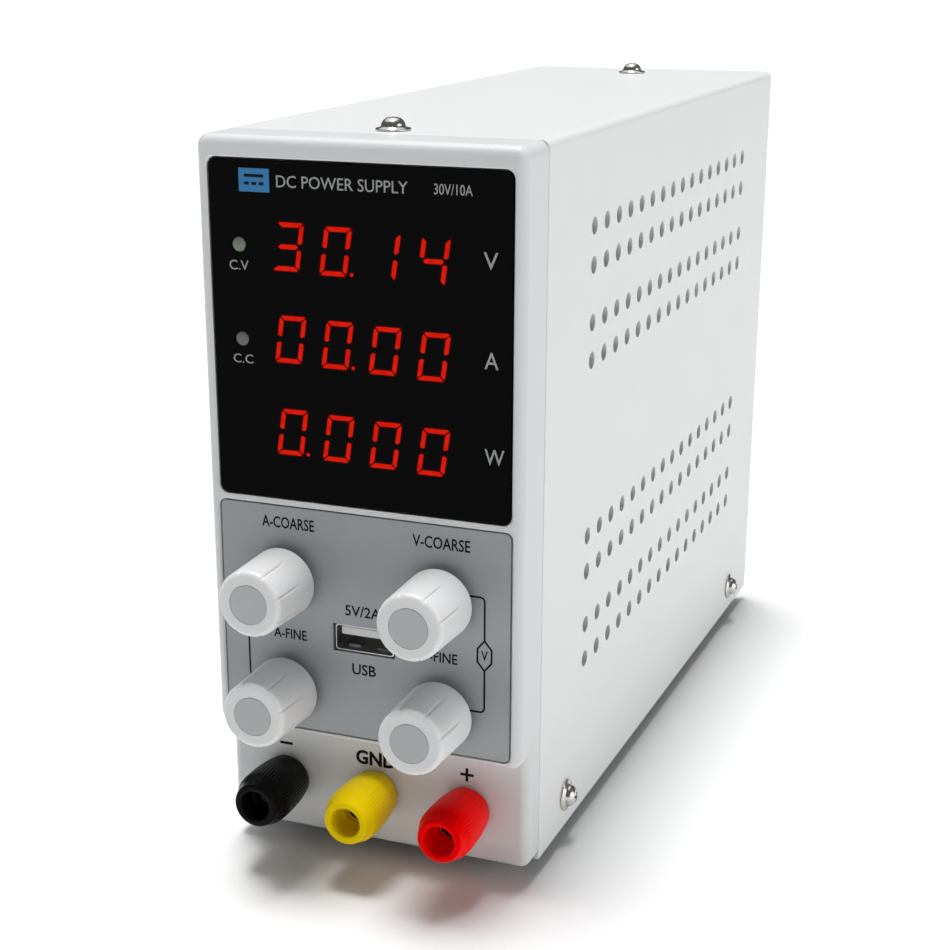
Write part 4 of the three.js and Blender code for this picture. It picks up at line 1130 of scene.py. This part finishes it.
drawer = rounded_block("fuse_drawer", *about(INLET_X, 11.4), 12.5, 19.1, BACK_Y + 3.7,
                       BACK_Y - 18.5, 0.5, 0.35, 3)
carve(drawer, slab("grip", *about(INLET_X, 4), BACK_Y + 2.3, BACK_Y + 6, 14.8, 16.8),
      slab("fuse_bay", *about(INLET_X, 10.2), BACK_Y - 16, BACK_Y - 1, 14, 20))
soften(drawer, 0.2 * MM, 2, 50)
fit(drawer, "fuse_drawer", "drawer", black_plastic)

# ---- power switch ------------------------------------------------------------
# A rocker switch with a black frame. The rocker is pressed in at the top, which is
# on, and carries the two usual marks.

SWITCH_X = 18.0
SWITCH_Z = 29.0
TILT = math.radians(10)
ROCKER_HALF = 7.6
ROCKER_RISE = 2.2
ROCKER_CURVE = 1.6
RING_Z = -4.6

switch_body = rounded_block("power_switch_body", *about(SWITCH_X, 7.5), 18.5, 39.5,
                            BACK_Y + 2.1, BACK_Y + 0.3, 1.5, 0.6, 3)
weld(switch_body, slab("housing", *about(SWITCH_X, 6.5), BACK_Y - 14, BACK_Y + 1,
                       19.5, 38.5))
carve(switch_body, slab("well", *about(SWITCH_X, 5.4), BACK_Y - 7, BACK_Y + 4,
                        20.4, 37.6))
fit(switch_body, "power_switch_body", "case", black_plastic)


def tilted(x, out, up):
    """A place on the rocker, in mm from its pivot, out of the panel and up."""
    y = out * math.cos(TILT) - up * math.sin(TILT)
    z = out * math.sin(TILT) + up * math.cos(TILT)
    return spot(SWITCH_X + x, BACK_Y + 0.8 + y, SWITCH_Z + z)


rocker_side = [(-ROCKER_HALF, 0), (0, -4), (ROCKER_HALF, 0)]
rocker_side += [(ROCKER_HALF - 2 * ROCKER_HALF * k / 12,
                 ROCKER_RISE + abs(1 - k / 6) ** ROCKER_CURVE) for k in range(13)]
rocker = loft("power_switch_rocker",
              [[tilted(x, out, up) for up, out in rocker_side] for x in (-5, 5)])
soften(rocker, 0.4 * MM, 3, 50)
fit(rocker, "power_switch_rocker", "rocker", black_plastic)

white_print = surface("white_print", (0.75, 0.75, 0.74), 0.5, mottle=0.05, mottle_size=0.002)


def rocker_mark(outline):
    """A thin raised mark on the rocker's curved face."""
    return loft("mark", [
        [tilted(x, ROCKER_RISE + abs(up / ROCKER_HALF) ** ROCKER_CURVE + proud, up)
         for x, up in outline] for proud in (-0.1, 0.05)])


def ring_outline(radius):
    """Points of a circle on the rocker's lower half."""
    angles = [k * math.pi / 16 for k in range(32)]
    return [(radius * math.cos(a), RING_Z + radius * math.sin(a)) for a in angles]


bar_mark = rocker_mark([(-0.3, 3.2), (0.3, 3.2), (0.3, 6.0), (-0.3, 6.0)])
ring_mark = rocker_mark(ring_outline(1.5))
carve(ring_mark, loft("bore", [[tilted(x, out, up) for x, up in ring_outline(0.95)]
                               for out in (0, 6)]))
marks = weld(bar_mark, ring_mark)
marks.name = "rocker_marks"
marks.data.materials.clear()
marks.data.materials.append(white_print)
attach(marks, "rocker")

# ---- voltage selector --------------------------------------------------------
# A red slider in a recess behind the panel picks the mains voltage. A slot across
# its face takes a screwdriver.

slider_red = surface("slider_red", (0.55, 0.012, 0.010), 0.35, mottle=0.08, mottle_size=0.004)
slider = slab("voltage_selector_slider", 7.7, 16.3, BACK_Y - 5.6, BACK_Y - 0.5, 58.7, 65.3)
carve(slider, slab("slot", 11.4, 12.6, BACK_Y - 1.6, BACK_Y + 1, 58, 66))
soften(slider, 0.2 * MM, 2, 50)
fit(slider, "voltage_selector_slider", "selector", slider_red)

# ---- inner parts -------------------------------------------------------------
# Boards, transformer, heat sink and capacitors inside the case, and the steel and
# brass that shows only in gaps. Their shapes stay and each takes its own finish.

circuit_board = surface("circuit_board", (0.012, 0.085, 0.035), 0.4, mottle=0.3, mottle_size=0.004,
                        grain=0.00003, grain_size=0.0012)
brass = surface("brass", (0.62, 0.42, 0.14), 0.28, metallic=1.0, mottle=0.12, mottle_size=0.003)
aluminium = surface("aluminium", (0.60, 0.61, 0.62), 0.35, metallic=1.0, mottle=0.1,
                    mottle_size=0.01)
sleeve = surface("capacitor_sleeve", (0.02, 0.05, 0.19), 0.3, mottle=0.1, mottle_size=0.006)
ferrite = surface("ferrite", (0.035, 0.035, 0.037), 0.6, mottle=0.3, mottle_size=0.003,
                  grain=0.00008, grain_size=0.0008)
meter_red = surface("meter_red", (0.30, 0.01, 0.008), 0.3, mottle=0.1, mottle_size=0.004)

inner_finish = {
    circuit_board: ["main_board", "display_board", "control_board"],
    steel: ["base_chassis"] + [f"{k}_{s}_potentiometer" for k, s, _, _ in knob_places],
    brass: [f"{pole}_post_insert" for pole, _ in post_places],
    aluminium: ["heat_sink"] + [f"{k}_{s}_shaft" for k, s, _, _ in knob_places],
    sleeve: ["input_capacitor", "output_capacitor"],
    ferrite: ["transformer"],
    meter_red: ["voltage_display", "current_display", "power_display"],
    black_plastic: ["voltage_selector_body"],
}
for material, names in inner_finish.items():
    for name in names:
        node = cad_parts[name]
        node.data.materials.clear()
        node.data.materials.append(material)
